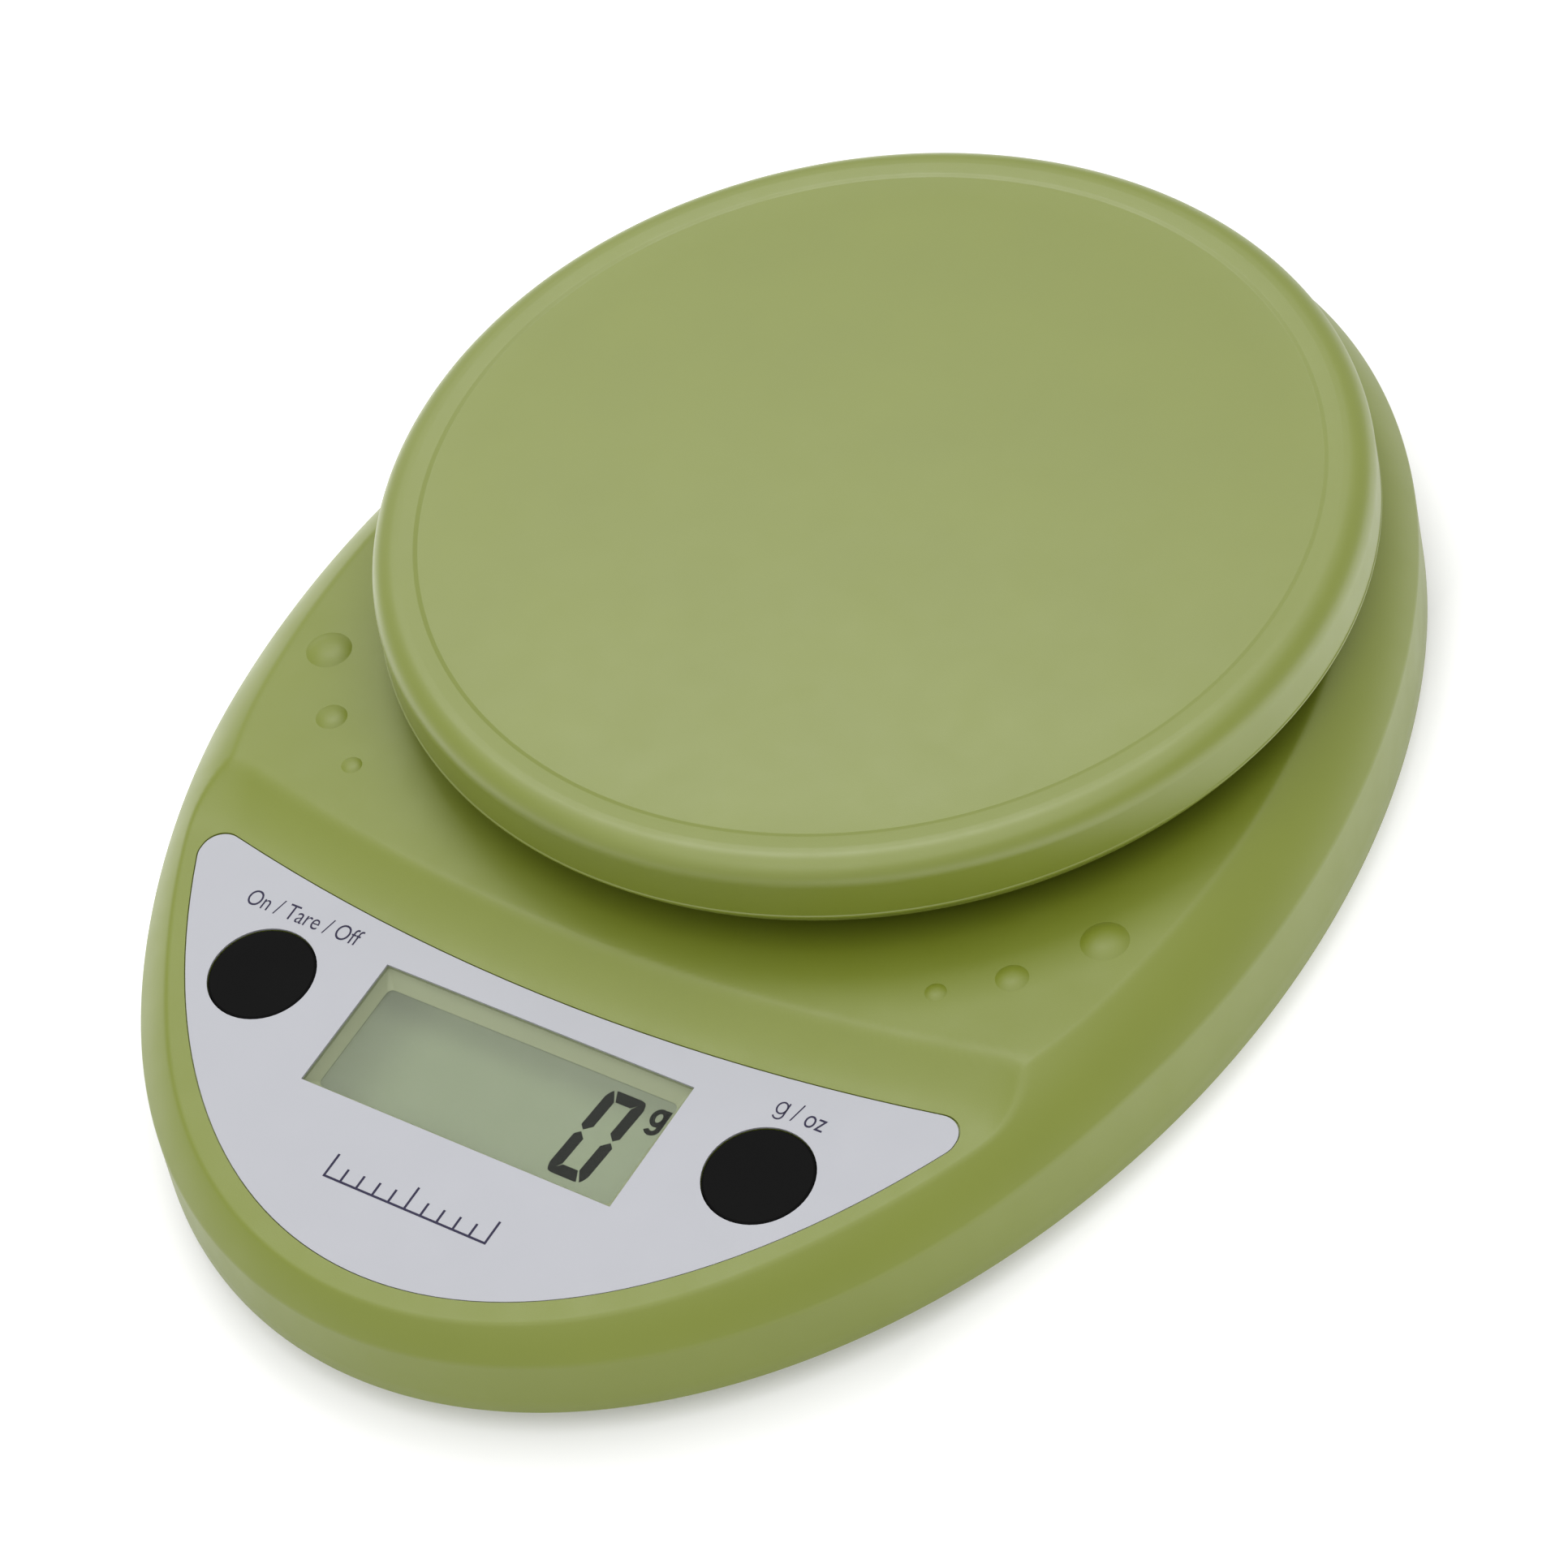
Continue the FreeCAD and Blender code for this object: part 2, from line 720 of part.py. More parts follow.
def make_case_screws():
    seat = size["case_screw_seat"]
    head = (seat - size["case_screw_head_height"], seat)
    radii = (size["case_screw_head_radius"], size["case_screw_radius"])
    screws = [
        screw(f"case_screw_{side}_{i}", radii[0], head, radii[1], size["case_screw_tip"], x * sign, y)
        for i, (x, y) in enumerate(CASE_SCREW_PLACES)
        for side, sign in SIDES
    ]
    node("case_screws", group("case_screws", *screws))


# ---- panel, display and circuit board, drawn in the panel's own frame ----

def make_panel():
    sheet_form = panel_form("overlay_form", as_size(0), (-size["panel_depth"], 0))
    window = window_box("overlay_window", as_size(0), (-1, 1))
    holes = button_holes("overlay_hole", size["button_radius"] + size["button_gap"], (-1, 1))
    node("label_overlay", on_panel(cut("label_overlay", sheet_form, window, *holes)))
    top = -size["panel_depth"]
    pane = window_box("window_pane", size["pane_margin"], (top - size["pane_thickness"], top))
    node("lcd_window", on_panel(group("lcd_window", pane)))


def make_display():
    top = -size["well_depth"] - 0.05
    glass_bottom = top - size["glass_thickness"]
    glass = window_box("lcd_glass_block", size["glass_margin"], (glass_bottom, top))
    node("lcd_glass", on_panel(group("lcd_glass", glass)))
    board = size["board_top"]
    frame_outer = window_box("holder_outer", size["holder_margin"], (board, top - 0.6))
    frame_inner = window_box("holder_inner", size["glass_margin"] + 0.15, (board - 1, top + 1))
    node("lcd_holder", on_panel(cut("lcd_holder", frame_outer, frame_inner)))
    strip_y = size["window_centre"] - size["window_length"] * 0.5
    strip = block("zebra_block", (-23, 23), (strip_y, strip_y + 2.4), (board, glass_bottom))
    node("zebra_strip", on_panel(group("zebra_strip", strip)))


def make_board():
    half = size["board_half_width"]
    top = size["board_top"]
    under = top - size["board_thickness"]
    outline = rectangle((-half, half), (size["board_front"], size["board_back"]))
    slab = padded("board_slab", outline, (under, top))
    slab = round_body(slab, as_size(2.0), upright)
    hole_z = (under - 1, top + 1)
    holes = mirrored_rods("board_hole", size["board_hole_radius"], hole_z, board_screw_places())
    node("main_board", on_panel(cut("main_board", slab, *holes)))
    head = (under - size["board_screw_head_height"], under)
    radii = (size["board_screw_head_radius"], size["board_screw_radius"])
    screws = [
        screw(f"board_screw_{side}_{i}", radii[0], head, radii[1], size["board_screw_tip"], x * sign, y)
        for i, (x, y) in enumerate(board_screw_places())
        for side, sign in SIDES
    ]
    node("board_screws", on_panel(group("board_screws", *screws)))

    chip = block("chip_block", (-12, 0), (-6, 6), (under - 1.4, under))
    node("controller_chip", on_panel(group("controller_chip", chip)))
    can = padded("crystal_can", rectangle((5, 15), (-2, 2)), (under - 2.4, under))
    node("crystal", on_panel(round_body(can, as_size(1.9), upright)))
    capacitor = turned("capacitor_can", [(0, -3.4), (2.2, -3.4), (2.5, -3.1), (2.5, 0), (0, 0)])
    node("filter_capacitor", on_panel(group("filter_capacitor", place(capacitor, -18, 4, under))))
    shell = block("socket_shell", (-27, -17), (-9.5, -5), (under - 3.4, under))
    mouth = block("socket_mouth", (-28, -18), (-8.5, -6), (under - 2.9, under - 0.6))
    node("cable_socket", on_panel(cut("cable_socket", shell, mouth)))


def make_buttons():
    """Each button rests on the plunger of a tactile switch. Both travel 0.5 along the panel's normal."""
    radius = size["button_radius"]
    bevel = size["button_bevel"]
    skin = size["panel_proud"] - size["shell_wall"] - 0.3
    flange = skin - size["button_flange_height"]
    rim = radius + size["button_flange_width"]
    post = size["button_post_radius"]
    top = size["plunger_top"]
    profile = [
        (0, 0), (radius - bevel, 0), (radius, -bevel), (radius, skin), (rim, skin),
        (rim, flange), (post, flange), (post, top), (0, top),
    ]
    half = size["switch_half_width"]
    y = size["button_centre"]
    plunger = size["plunger_radius"]
    low = top - 2.1
    case_z = (size["board_top"], size["switch_top"])
    for name, sign in (("power", -1), ("units", 1)):
        x = sign * size["button_spacing"]
        cap = place(turned(f"{name}_cap", profile), x, y, 0)
        node(f"{name}_button", on_panel(group(f"{name}_button", cap)))
        pin = rod(f"{name}_pin", plunger, (low, top), x, y)
        node(f"{name}_plunger", on_panel(group(f"{name}_plunger", pin)))
        case = block(f"{name}_switch_block", (x - half, x + half), (y - half, y + half), case_z)
        bore = rod(f"{name}_switch_bore", plunger + 0.2, (low - 0.7, 0), x, y)
        node(f"{name}_switch", on_panel(cut(f"{name}_switch", case, bore)))


# ---- batteries ----

def cell_rows():
    """The Y of each cell's axis, front and rear."""
    middle = (size["bay_front"] + size["bay_back"]) * 0.5
    return [middle - size["cell_pitch"] * 0.5, middle + size["cell_pitch"] * 0.5]


def make_batteries():
    """Two cells side by side, head to tail. Each has a nub at one end and a spring at the other."""
    wall = size["bay_half_width"] - size["contact_sheet"]
    body_start = wall - size["cell_nub"] - size["cell_body"]
    z = size["cell_height"]
    springs = []
    for name, y, sign in zip(("front", "rear"), cell_rows(), (1, -1)):
        nub_start = wall - size["cell_nub"]
        ends = ((body_start, nub_start), (nub_start, wall))
        if sign < 0:
            ends = tuple((-high, -low) for low, high in ends)
        can = lying_rod(f"cell_can_{name}", size["cell_radius"], ends[0], y, z)
        nub = lying_rod(f"cell_nub_{name}", 2.75, ends[1], y, z)
        node(f"battery_{name}", fuse(f"battery_{name}", can, nub))
        springs.append(leaf_spring(f"spring_{name}", sign, wall, body_start + wall, y, z))
    node("battery_springs", group("battery_springs", *springs))


def leaf_spring(name, sign, wall, reach, y, z):
    """A bent strip: one end lies on the contact plate, the other bears on the cell's flat end."""
    strip = size["spring_strip"]
    bends = [
        (0, 4.5), (0, 2.0), (reach - strip, -2.1), (reach - strip, -4.2),
        (reach, -4.2), (reach, -2.0), (strip, 2.1), (strip, 4.5),
    ]
    outline = [((u - wall) * sign, y + v * sign) for u, v in bends]
    half = size["spring_half_width"]
    return padded(name, outline, (z - half, z + half))


def make_contacts():
    inner = size["bay_half_width"]
    sheet_metal = size["contact_sheet"]
    front, rear = cell_rows()
    half = size["contact_half_width"]
    half_height = size["contact_half_height"]
    z = (size["cell_height"] - half_height, size["cell_height"] + half_height)
    bridge = block("bridge_plate", (-inner, sheet_metal - inner), (front - half, rear + half), z)
    node("bridge_contact", group("bridge_contact", bridge))
    for name, y in (("positive_terminal", front), ("negative_terminal", rear)):
        plate = block(name + "_plate", (inner - sheet_metal, inner), (y - half, y + half), z)
        tab = block(name + "_tab", (inner, inner + 3.4), (y - 1.5, y + 1.5), (14.3, 14.7))
        node(name, fuse(name, plate, tab))


def make_door():
    """The bay's cover. Its side tongues run in the tray's grooves. It slides towards the front to open."""
    gap = size["door_gap"]
    half = size["bay_half_width"] - gap
    y = (size["bay_front"] + gap, size["bay_back"] - gap)
    base = size["tray_base"]
    plate = block("door_plate", (-half, half), y, (base, size["door_top"]))
    tongue_half = half + size["tongue_width"]
    tongue_y = (size["bay_front"] + 3.0, size["bay_back"] - 3.0)
    tongue_z = (size["tongue_base"], size["door_top"])
    tongues = block("door_tongues", (-tongue_half, tongue_half), tongue_y, tongue_z)
    ridge_half = size["door_ridge_half_width"]
    ridges = []
    for i in range(DOOR_RIDGES):
        start = size["bay_front"] + 4 + size["door_ridge_pitch"] * i
        ridge = block(f"door_ridge_{i}", (-ridge_half, ridge_half), (start, start + 1), (base - 0.5, base))
        ridges.append(ridge)
    node("battery_door", fuse("battery_door", plate, tongues, *ridges))


# ---- beam and platter ----

def free_screw_rows():
    first = size["platter_centre"] - size["beam_length"] * 0.5 + size["beam_screw_inset"]
    return [first, first + size["beam_screw_pitch"]]


def base_screw_rows():
    last = size["platter_centre"] + size["beam_length"] * 0.5 - size["beam_screw_inset"]
    return [last - size["beam_screw_pitch"], last]


def make_beam():
    half = size["beam_half_width"]
    half_length = size["beam_length"] * 0.5
    middle = size["platter_centre"]
    low = size["beam_bottom"]
    high = low + size["beam_depth"]
    bar = block("beam_bar", (-half, half), (middle - half_length, middle + half_length), (low, high))
    centre_z = low + size["beam_depth"] * 0.5
    spacing = size["beam_hole_spacing"]
    eyes = [
        lying_rod(f"beam_eye_{i}", size["beam_hole_radius"], (-half - 1, half + 1), middle + offset, centre_z)
        for i, offset in enumerate((-spacing, spacing))
    ]
    slit_z = (centre_z - 1.5, centre_z + 1.5)
    slit = block("beam_slit", (-half - 1, half + 1), (middle - spacing, middle + spacing), slit_z)
    rows = free_screw_rows() + base_screw_rows()
    tap_z = (low - 1, high + 1)
    taps = [rod(f"beam_tap_{i}", size["beam_tap_radius"], tap_z, 0, y) for i, y in enumerate(rows)]
    node("load_cell", cut("load_cell", bar, fuse("beam_window", *eyes, slit), *taps))

    patches = [
        block(f"gauge_{i}", (-3.5, 3.5), (middle + offset - 3, middle + offset + 3), z)
        for i, (offset, z) in enumerate(
            (offset, z) for offset in (-spacing, spacing) for z in ((low - 0.4, low), (high, high + 0.4))
        )
    ]
    node("strain_gauges", group("strain_gauges", *patches))

    plate = size["beam_plate"]
    overlap = size["beam_end_overlap"]
    plate_half = half + 1.0
    fixed_y = (middle + half_length - overlap, middle + half_length)
    free_y = (middle - half_length, middle - half_length + overlap)
    spacer = block("spacer_block", (-plate_half, plate_half), fixed_y, (low - plate, low))
    clearance = size["beam_hole_clearance"]
    spacer_holes = [
        rod(f"spacer_hole_{i}", clearance, (low - 4, low + 1), 0, y) for i, y in enumerate(base_screw_rows())
    ]
    node("load_cell_spacer", cut("load_cell_spacer", spacer, *spacer_holes))
    arm = block("arm_block", (-plate_half, plate_half), free_y, (high, high + plate))
    arm_holes = [
        rod(f"arm_hole_{i}", clearance, (high - 1, high + 4), 0, y) for i, y in enumerate(free_screw_rows())
    ]
    node("load_arm_plate", cut("load_arm_plate", arm, *arm_holes))

    head_radius = size["beam_screw_head_radius"]
    head_height = size["beam_screw_head_height"]
    shank = size["beam_screw_radius"]
    seat = size["beam_screw_seat"]
    head = (seat - head_height, seat)
    base_screws = [
        screw(f"base_screw_{i}", head_radius, head, shank, size["beam_screw_tip"], 0, y)
        for i, y in enumerate(base_screw_rows())
    ]
    node("load_cell_base_screws", group("load_cell_base_screws", *base_screws))
    seat = high + plate + size["hub_floor"]
    head = (seat + head_height, seat)
    top_screws = [
        screw(f"top_screw_{i}", head_radius, head, shank, size["arm_screw_tip"], 0, y)
        for i, y in enumerate(free_screw_rows())
    ]
    node("load_cell_top_screws", group("load_cell_top_screws", *top_screws))

    stop_top = low - size["overload_gap"]
    stop = rod("stop_rod", size["overload_stop_radius"], (size["tray_base"] + 0.4, stop_top), 0, hub_place())
    slot = block("stop_slot", (-3, 3), (hub_place() - 0.3, hub_place() + 0.3), (0, size["tray_base"] + 1.2))
    node("overload_stop", cut("overload_stop", stop, slot))


def make_platter():
    radius = size["platter_radius"]
    wall = size["platter_wall"]
    parting = size["platter_parting"]
    top = size["platter_top"]
    disc = size["platter_disc"]
    ledge = radius - 4.76
    cap = turned("platter_cap", [
        (0, disc), (radius - 6.46, disc), (ledge - 0.7, top - 0.05), (ledge, top), (radius - 0.6, top - 1.3),
        (radius, parting), (radius - 2.2, parting), (radius - 2.6, disc - wall), (0, disc - wall),
    ])
    cap = round_body(cap, as_size(2.6), lambda e: abs(e.BoundBox.ZMax - (top.value - 1.3)) < 1e-3)
    node("platter_cap", place(cap, 0, size["platter_centre"], 0))

    bottom = size["platter_base_bottom"]
    floor = parting + 0.2
    guide = radius - 2.9
    dish = turned("platter_dish", [
        (0, bottom + 0.6), (radius - 3.2, bottom + 0.6), (radius - 3.2, bottom), (radius - 1.3, bottom),
        (radius - 0.6, parting), (guide, parting), (guide, parting + 3.0), (guide - 1.4, parting + 3.0),
        (guide - 1.4, floor), (0, floor),
    ])
    place(dish, 0, size["platter_centre"], 0)
    hub_y = hub_place()
    hub_bottom = size["beam_bottom"] + size["beam_depth"] + size["beam_plate"]
    hub = rod("platter_hub", size["hub_radius"], (hub_bottom, floor), 0, hub_y)
    rib_z = (floor, floor + size["rib_height"])
    rib_half = size["rib_thickness"] * 0.5
    rib_start = size["rib_start"]
    ribs = []
    for i in range(PLATTER_RIBS):
        rib = block(f"platter_rib_{i}", (rib_start, guide - 1.0), (-rib_half, rib_half), rib_z)
        turn = Rotation(Vector(0, 0, 1), 360 * (i + 0.5) / PLATTER_RIBS)
        spot = turn.multVec(Vector(rib_start.value, -rib_half.value, 0))
        place(rib, spot.x, size["platter_centre"] + spot.y, floor, turn)
        ribs.append(rib)
    cup_z = (hub_bottom + size["hub_floor"], floor + 10)
    cup = rod("hub_cup", size["hub_radius"] - size["hub_wall"], cup_z, 0, hub_y)
    hole_z = (hub_bottom - 1, hub_bottom + 5)
    holes = [
        rod(f"hub_hole_{i}", size["beam_hole_clearance"], hole_z, 0, y)
        for i, y in enumerate(free_screw_rows())
    ]
    solid = fuse("platter_base_solid", dish, hub, *ribs)
    node("platter_base", cut("platter_base", solid, fuse("hub_tools", cup, *holes)))


# ---- wires ----

def routed_path(points):
    """Straight runs joined by tangent arcs, each arc as large as its two runs allow."""
    edges = []
    start = points[0]
    for before, corner, after in zip(points, points[1:], points[2:]):
        inward, outward = (corner - before), (after - corner)
        run = min(inward.Length, outward.Length)
        inward.normalize()
        outward.normalize()
        trim = 0.45 * run
        arc_start = corner - inward * trim
        arc_end = corner + outward * trim
        towards = outward - inward
        towards.normalize()
        half_turn = inward.getAngle(outward) / 2
        radius = trim / math.tan(half_turn)
        arc_middle = corner + towards * (radius / math.cos(half_turn) - radius)
        edges.append(Part.LineSegment(start, arc_start).toShape())
        edges.append(Part.Arc(arc_start, arc_middle, arc_end).toShape())
        start = arc_end
    edges.append(Part.LineSegment(start, points[-1]).toShape())
    return Part.Wire(edges)


def wire(name, radius, points):
    path = routed_path([Vector(*p) for p in points])
    direction = path.Edges[0].tangentAt(path.Edges[0].FirstParameter)
    section = Part.Wire([Part.makeCircle(radius, Vector(*points[0]), direction)])
    item = doc.addObject("Part::Feature", name)
    item.Shape = path.makePipeShell([section], True, True)
    expected = math.pi * radius * radius * path.Length
    if abs(item.Shape.Volume - expected) > 0.02 * expected:
        raise ValueError(f"{name}: the tube's volume is wrong")
    print(name, "length", round(path.Length, 1))
    node(name, item)


def make_wires():
    front, rear = (y.value for y in cell_rows())
    lead = SIZES["lead_radius"]
    wire("positive_lead", lead, [
        (31.0, front, 15.5), (34.0, front - 3, 15.0), (36.0, front - 10, 11.0),
        (35.0, front - 18, 7.0),
        (32.0, front - 25, 6.2), (29.5, front - 29, 8.0),
    ])
    wire("negative_lead", lead, [
        (31.0, rear, 15.5), (35.0, rear - 3, 15.0), (39.5, rear - 12, 11.5), (40.0, rear - 24, 8.0),
        (37.0, rear - 36, 6.2), (33.5, rear - 43, 8.0),
    ])
    wire("load_cell_cable", SIZES["cell_cable_radius"], [
        (-7.6, 26.8, 13.6), (-12.0, 22.0, 13.0), (-20.0, 10.0, 10.0), (-31.0, 0.0, 6.6),
        (-35.0, -14.0, 5.6), (-35.0, -32.0, 5.4), (-37.0, -50.0, 5.4), (-37.0, -64.0, 5.9),
        (-32.0, -73.5, 6.7), (-27.9, -74.4, 6.9),
    ])


def check_and_write():
    doc.recompute()
    for item in doc.Objects:
        if "Invalid" in item.State or "Error" in item.State:
            raise ValueError(f"{item.Name} failed: {item.State}")
    os.makedirs(PARTS_FOLDER, exist_ok=True)
    for item in nodes:
        shape = item.Shape
        if shape.isNull() or not shape.isValid() or not shape.Solids:
            raise ValueError(f"{item.Label} has no valid solid")
        shape.exportStep(os.path.join(PARTS_FOLDER, item.Label + ".step"))
    print(len(nodes), "sub-parts written")


make_top_case()
make_bottom_case()
make_feet()
make_case_screws()
make_panel()
make_display()
make_board()
make_buttons()
make_batteries()
make_contacts()
make_door()
make_beam()
make_platter()
make_wires()
check_and_write()
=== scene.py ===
"""Looks for the bench scale: detailed shells, panel marks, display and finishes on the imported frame."""
import math

import bmesh
import bpy
from mathutils import Matrix, Vector


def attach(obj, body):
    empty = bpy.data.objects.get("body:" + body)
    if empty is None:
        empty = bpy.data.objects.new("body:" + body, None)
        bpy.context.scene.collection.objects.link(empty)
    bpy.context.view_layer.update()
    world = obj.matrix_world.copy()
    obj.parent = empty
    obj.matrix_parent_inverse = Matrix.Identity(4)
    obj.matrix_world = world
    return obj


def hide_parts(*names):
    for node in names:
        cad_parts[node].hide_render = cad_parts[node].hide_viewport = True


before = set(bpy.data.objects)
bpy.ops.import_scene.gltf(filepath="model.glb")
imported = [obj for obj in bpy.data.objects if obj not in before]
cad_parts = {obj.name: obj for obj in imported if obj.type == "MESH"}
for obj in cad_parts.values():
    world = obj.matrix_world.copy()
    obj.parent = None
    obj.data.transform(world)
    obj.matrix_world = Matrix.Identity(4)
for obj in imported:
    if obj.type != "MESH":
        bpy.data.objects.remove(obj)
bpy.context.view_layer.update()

MM = 0.001

# ---- camera ----

CAMERA_PLACE = Vector((353.53, -392.77, 574.89)) * MM
CAMERA_AZIMUTH = math.radians(42.173)
CAMERA_ELEVATION = math.radians(47.081)
CAMERA_ROLL = math.radians(-13.322)
CAMERA_LENS = 132.53
SENSOR_WIDTH = 36.0


def make_camera():
    back = Vector((
        math.sin(CAMERA_AZIMUTH) * math.cos(CAMERA_ELEVATION),
        -math.cos(CAMERA_AZIMUTH) * math.cos(CAMERA_ELEVATION),
        math.sin(CAMERA_ELEVATION),
    ))
    level = Vector((math.cos(CAMERA_AZIMUTH), math.sin(CAMERA_AZIMUTH), 0))
    raised = back.cross(level)
    side = level * math.cos(CAMERA_ROLL) + raised * math.sin(CAMERA_ROLL)
    up = raised * math.cos(CAMERA_ROLL) - level * math.sin(CAMERA_ROLL)
    data = bpy.data.cameras.new("camera")
    data.lens = CAMERA_LENS
    data.sensor_width = SENSOR_WIDTH
    data.clip_start = 0.01
    data.clip_end = 50
    camera = bpy.data.objects.new("camera", data)
    turn = Matrix((side, up, back)).transposed()
    camera.matrix_world = Matrix.Translation(CAMERA_PLACE) @ turn.to_4x4()
    bpy.context.scene.collection.objects.link(camera)
    bpy.context.scene.camera = camera


# ---- materials ----

def new_material(name, colour, roughness, metallic=0.0):
    material = bpy.data.materials.new(name)
    material.use_nodes = True
    shader = material.node_tree.nodes["Principled BSDF"]
    shader.inputs["Base Color"].default_value = (*colour, 1)
    shader.inputs["Roughness"].default_value = roughness
    shader.inputs["Metallic"].default_value = metallic
    return material, shader


def noise(tree, size_mm, detail=2.0):
    """A noise texture in the object's own space whose blotches are about size_mm across."""
    place = tree.nodes.new("ShaderNodeTexCoord")
    node = tree.nodes.new("ShaderNodeTexNoise")
    node.inputs["Scale"].default_value = 1 / (size_mm * MM)
    node.inputs["Detail"].default_value = detail
    tree.links.new(place.outputs["Object"], node.inputs["Vector"])
    return node.outputs["Fac"]


def remap(tree, value, low, high):
    """Spreads a noise, which mostly lies between a quarter and three quarters, from low to high."""
    node = tree.nodes.new("ShaderNodeMapRange")
    node.inputs["From Min"].default_value = 0.25
    node.inputs["From Max"].default_value = 0.75
    node.inputs["To Min"].default_value = low
    node.inputs["To Max"].default_value = high
    tree.links.new(value, node.inputs["Value"])
    return node.outputs["Result"]


def vary_colour(tree, shader, colour, size_mm, amount):
    """Lets the colour drift a little, lighter and darker, in soft patches."""
    mix = tree.nodes.new("ShaderNodeMix")
    mix.data_type = "RGBA"
    mix.inputs["A"].default_value = (*[c * (1 - amount) for c in colour], 1)
    mix.inputs["B"].default_value = (*[min(c * (1 + amount), 1) for c in colour], 1)
    tree.links.new(remap(tree, noise(tree, size_mm, detail=3.0), 0, 1), mix.inputs["Factor"])
    tree.links.new(mix.outputs["Result"], shader.inputs["Base Color"])


def vary_roughness(tree, shader, roughness, size_mm, amount):
    spread = remap(tree, noise(tree, size_mm, detail=3.0), roughness - amount, roughness + amount)
    tree.links.new(spread, shader.inputs["Roughness"])


def add_bump(tree, shader, height, depth_mm, strength):
    node = tree.nodes.new("ShaderNodeBump")
    node.inputs["Strength"].default_value = strength
    node.inputs["Distance"].default_value = depth_mm * MM
    tree.links.new(height, node.inputs["Height"])
    tree.links.new(node.outputs["Normal"], shader.inputs["Normal"])


def moulded(name, colour, roughness=0.5, grain_mm=0.18, depth_mm=0.012, drift=0.02, sheen=0.0, gloss=0.5):
    """Moulded plastic or rubber with a spark-eroded grain and faint unevenness."""
    material, shader = new_material(name, colour, roughness)
    tree = material.node_tree
    vary_colour(tree, shader, colour, size_mm=14.0, amount=drift)
    vary_roughness(tree, shader, roughness, size_mm=6.0, amount=0.03)
    add_bump(tree, shader, noise(tree, grain_mm, detail=1.0), depth_mm, strength=0.6)
    shader.inputs["Specular IOR Level"].default_value = gloss
    shader.inputs["Sheen Weight"].default_value = sheen
    shader.inputs["Sheen Roughness"].default_value = 0.35
    return material


def metal(name, colour, roughness, grain_mm, stretch=(1, 1, 1)):
    """Metal with a brushed or cast grain; stretch draws the grain out along an axis."""
    material, shader = new_material(name, colour, roughness, 1.0)
    tree = material.node_tree
    place = tree.nodes.new("ShaderNodeTexCoord")
    mapping = tree.nodes.new("ShaderNodeMapping")
    mapping.inputs["Scale"].default_value = stretch
    grain = tree.nodes.new("ShaderNodeTexNoise")
    grain.inputs["Scale"].default_value = 1 / (grain_mm * MM)
    grain.inputs["Detail"].default_value = 3.0
    tree.links.new(place.outputs["Object"], mapping.inputs["Vector"])
    tree.links.new(mapping.outputs["Vector"], grain.inputs["Vector"])
    spread = remap(tree, grain.outputs["Fac"], roughness - 0.1, roughness + 0.1)
    tree.links.new(spread, shader.inputs["Roughness"])
    add_bump(tree, shader, grain.outputs["Fac"], depth_mm=0.01, strength=0.4)
    vary_colour(tree, shader, colour, size_mm=5.0, amount=0.05)
    return material


def clear(name, colour, roughness, alpha):
    """A clear moulded pane: nearly invisible face on, with a faint cast and its own gloss."""
    material, shader = new_material(name, colour, roughness)
    shader.inputs["Alpha"].default_value = alpha
    shader.inputs["IOR"].default_value = 1.45
    vary_roughness(material.node_tree, shader, roughness, size_mm=9.0, amount=0.03)
    return material


# painted shade: the display's face is painted darker along the well's left and rear walls, standing in for
# their shadow
DISPLAY_PAINTED_SHADE = 0.72
DISPLAY_PAINTED_SHADE_FADES = (
    # axis, the edge where the painted shade is darkest, and where the full colour starts
    ("X", -22.9, -10.0),
    ("Y", -60.4, -67.0),
)


def display(name, colour, roughness):
    """The display's face: finely grained, with painted shade that darkens it towards its left and rear edges,
    where the well's walls would shadow it.
    """
    material, shader = new_material(name, colour, roughness)
    tree = material.node_tree
    vary_roughness(tree, shader, roughness, size_mm=6.0, amount=0.03)
    place = tree.nodes.new("ShaderNodeTexCoord")
    split = tree.nodes.new("ShaderNodeSeparateXYZ")
    tree.links.new(place.outputs["Object"], split.inputs["Vector"])
    value = remap(tree, noise(tree, 0.25), 0.95, 1.05)
    # painted shade, fading in from the well's left and rear walls
    for axis, edge, inner in DISPLAY_PAINTED_SHADE_FADES:
        fade = tree.nodes.new("ShaderNodeMapRange")
        fade.interpolation_type = "SMOOTHERSTEP"
        fade.inputs["From Min"].default_value = edge * MM
        fade.inputs["From Max"].default_value = inner * MM
        fade.inputs["To Min"].default_value = DISPLAY_PAINTED_SHADE
        fade.inputs["To Max"].default_value = 1.0
        tree.links.new(split.outputs[axis], fade.inputs["Value"])
        product = tree.nodes.new("ShaderNodeMath")
        product.operation = "MULTIPLY"
        tree.links.new(value, product.inputs[0])
        tree.links.new(fade.outputs["Result"], product.inputs[1])
        value = product.outputs["Value"]
    tint = tree.nodes.new("ShaderNodeVectorMath")
    tint.operation = "SCALE"
    tint.inputs[0].default_value = colour
    tree.links.new(value, tint.inputs["Scale"])
    tree.links.new(tint.outputs["Vector"], shader.inputs["Base Color"])
    return material


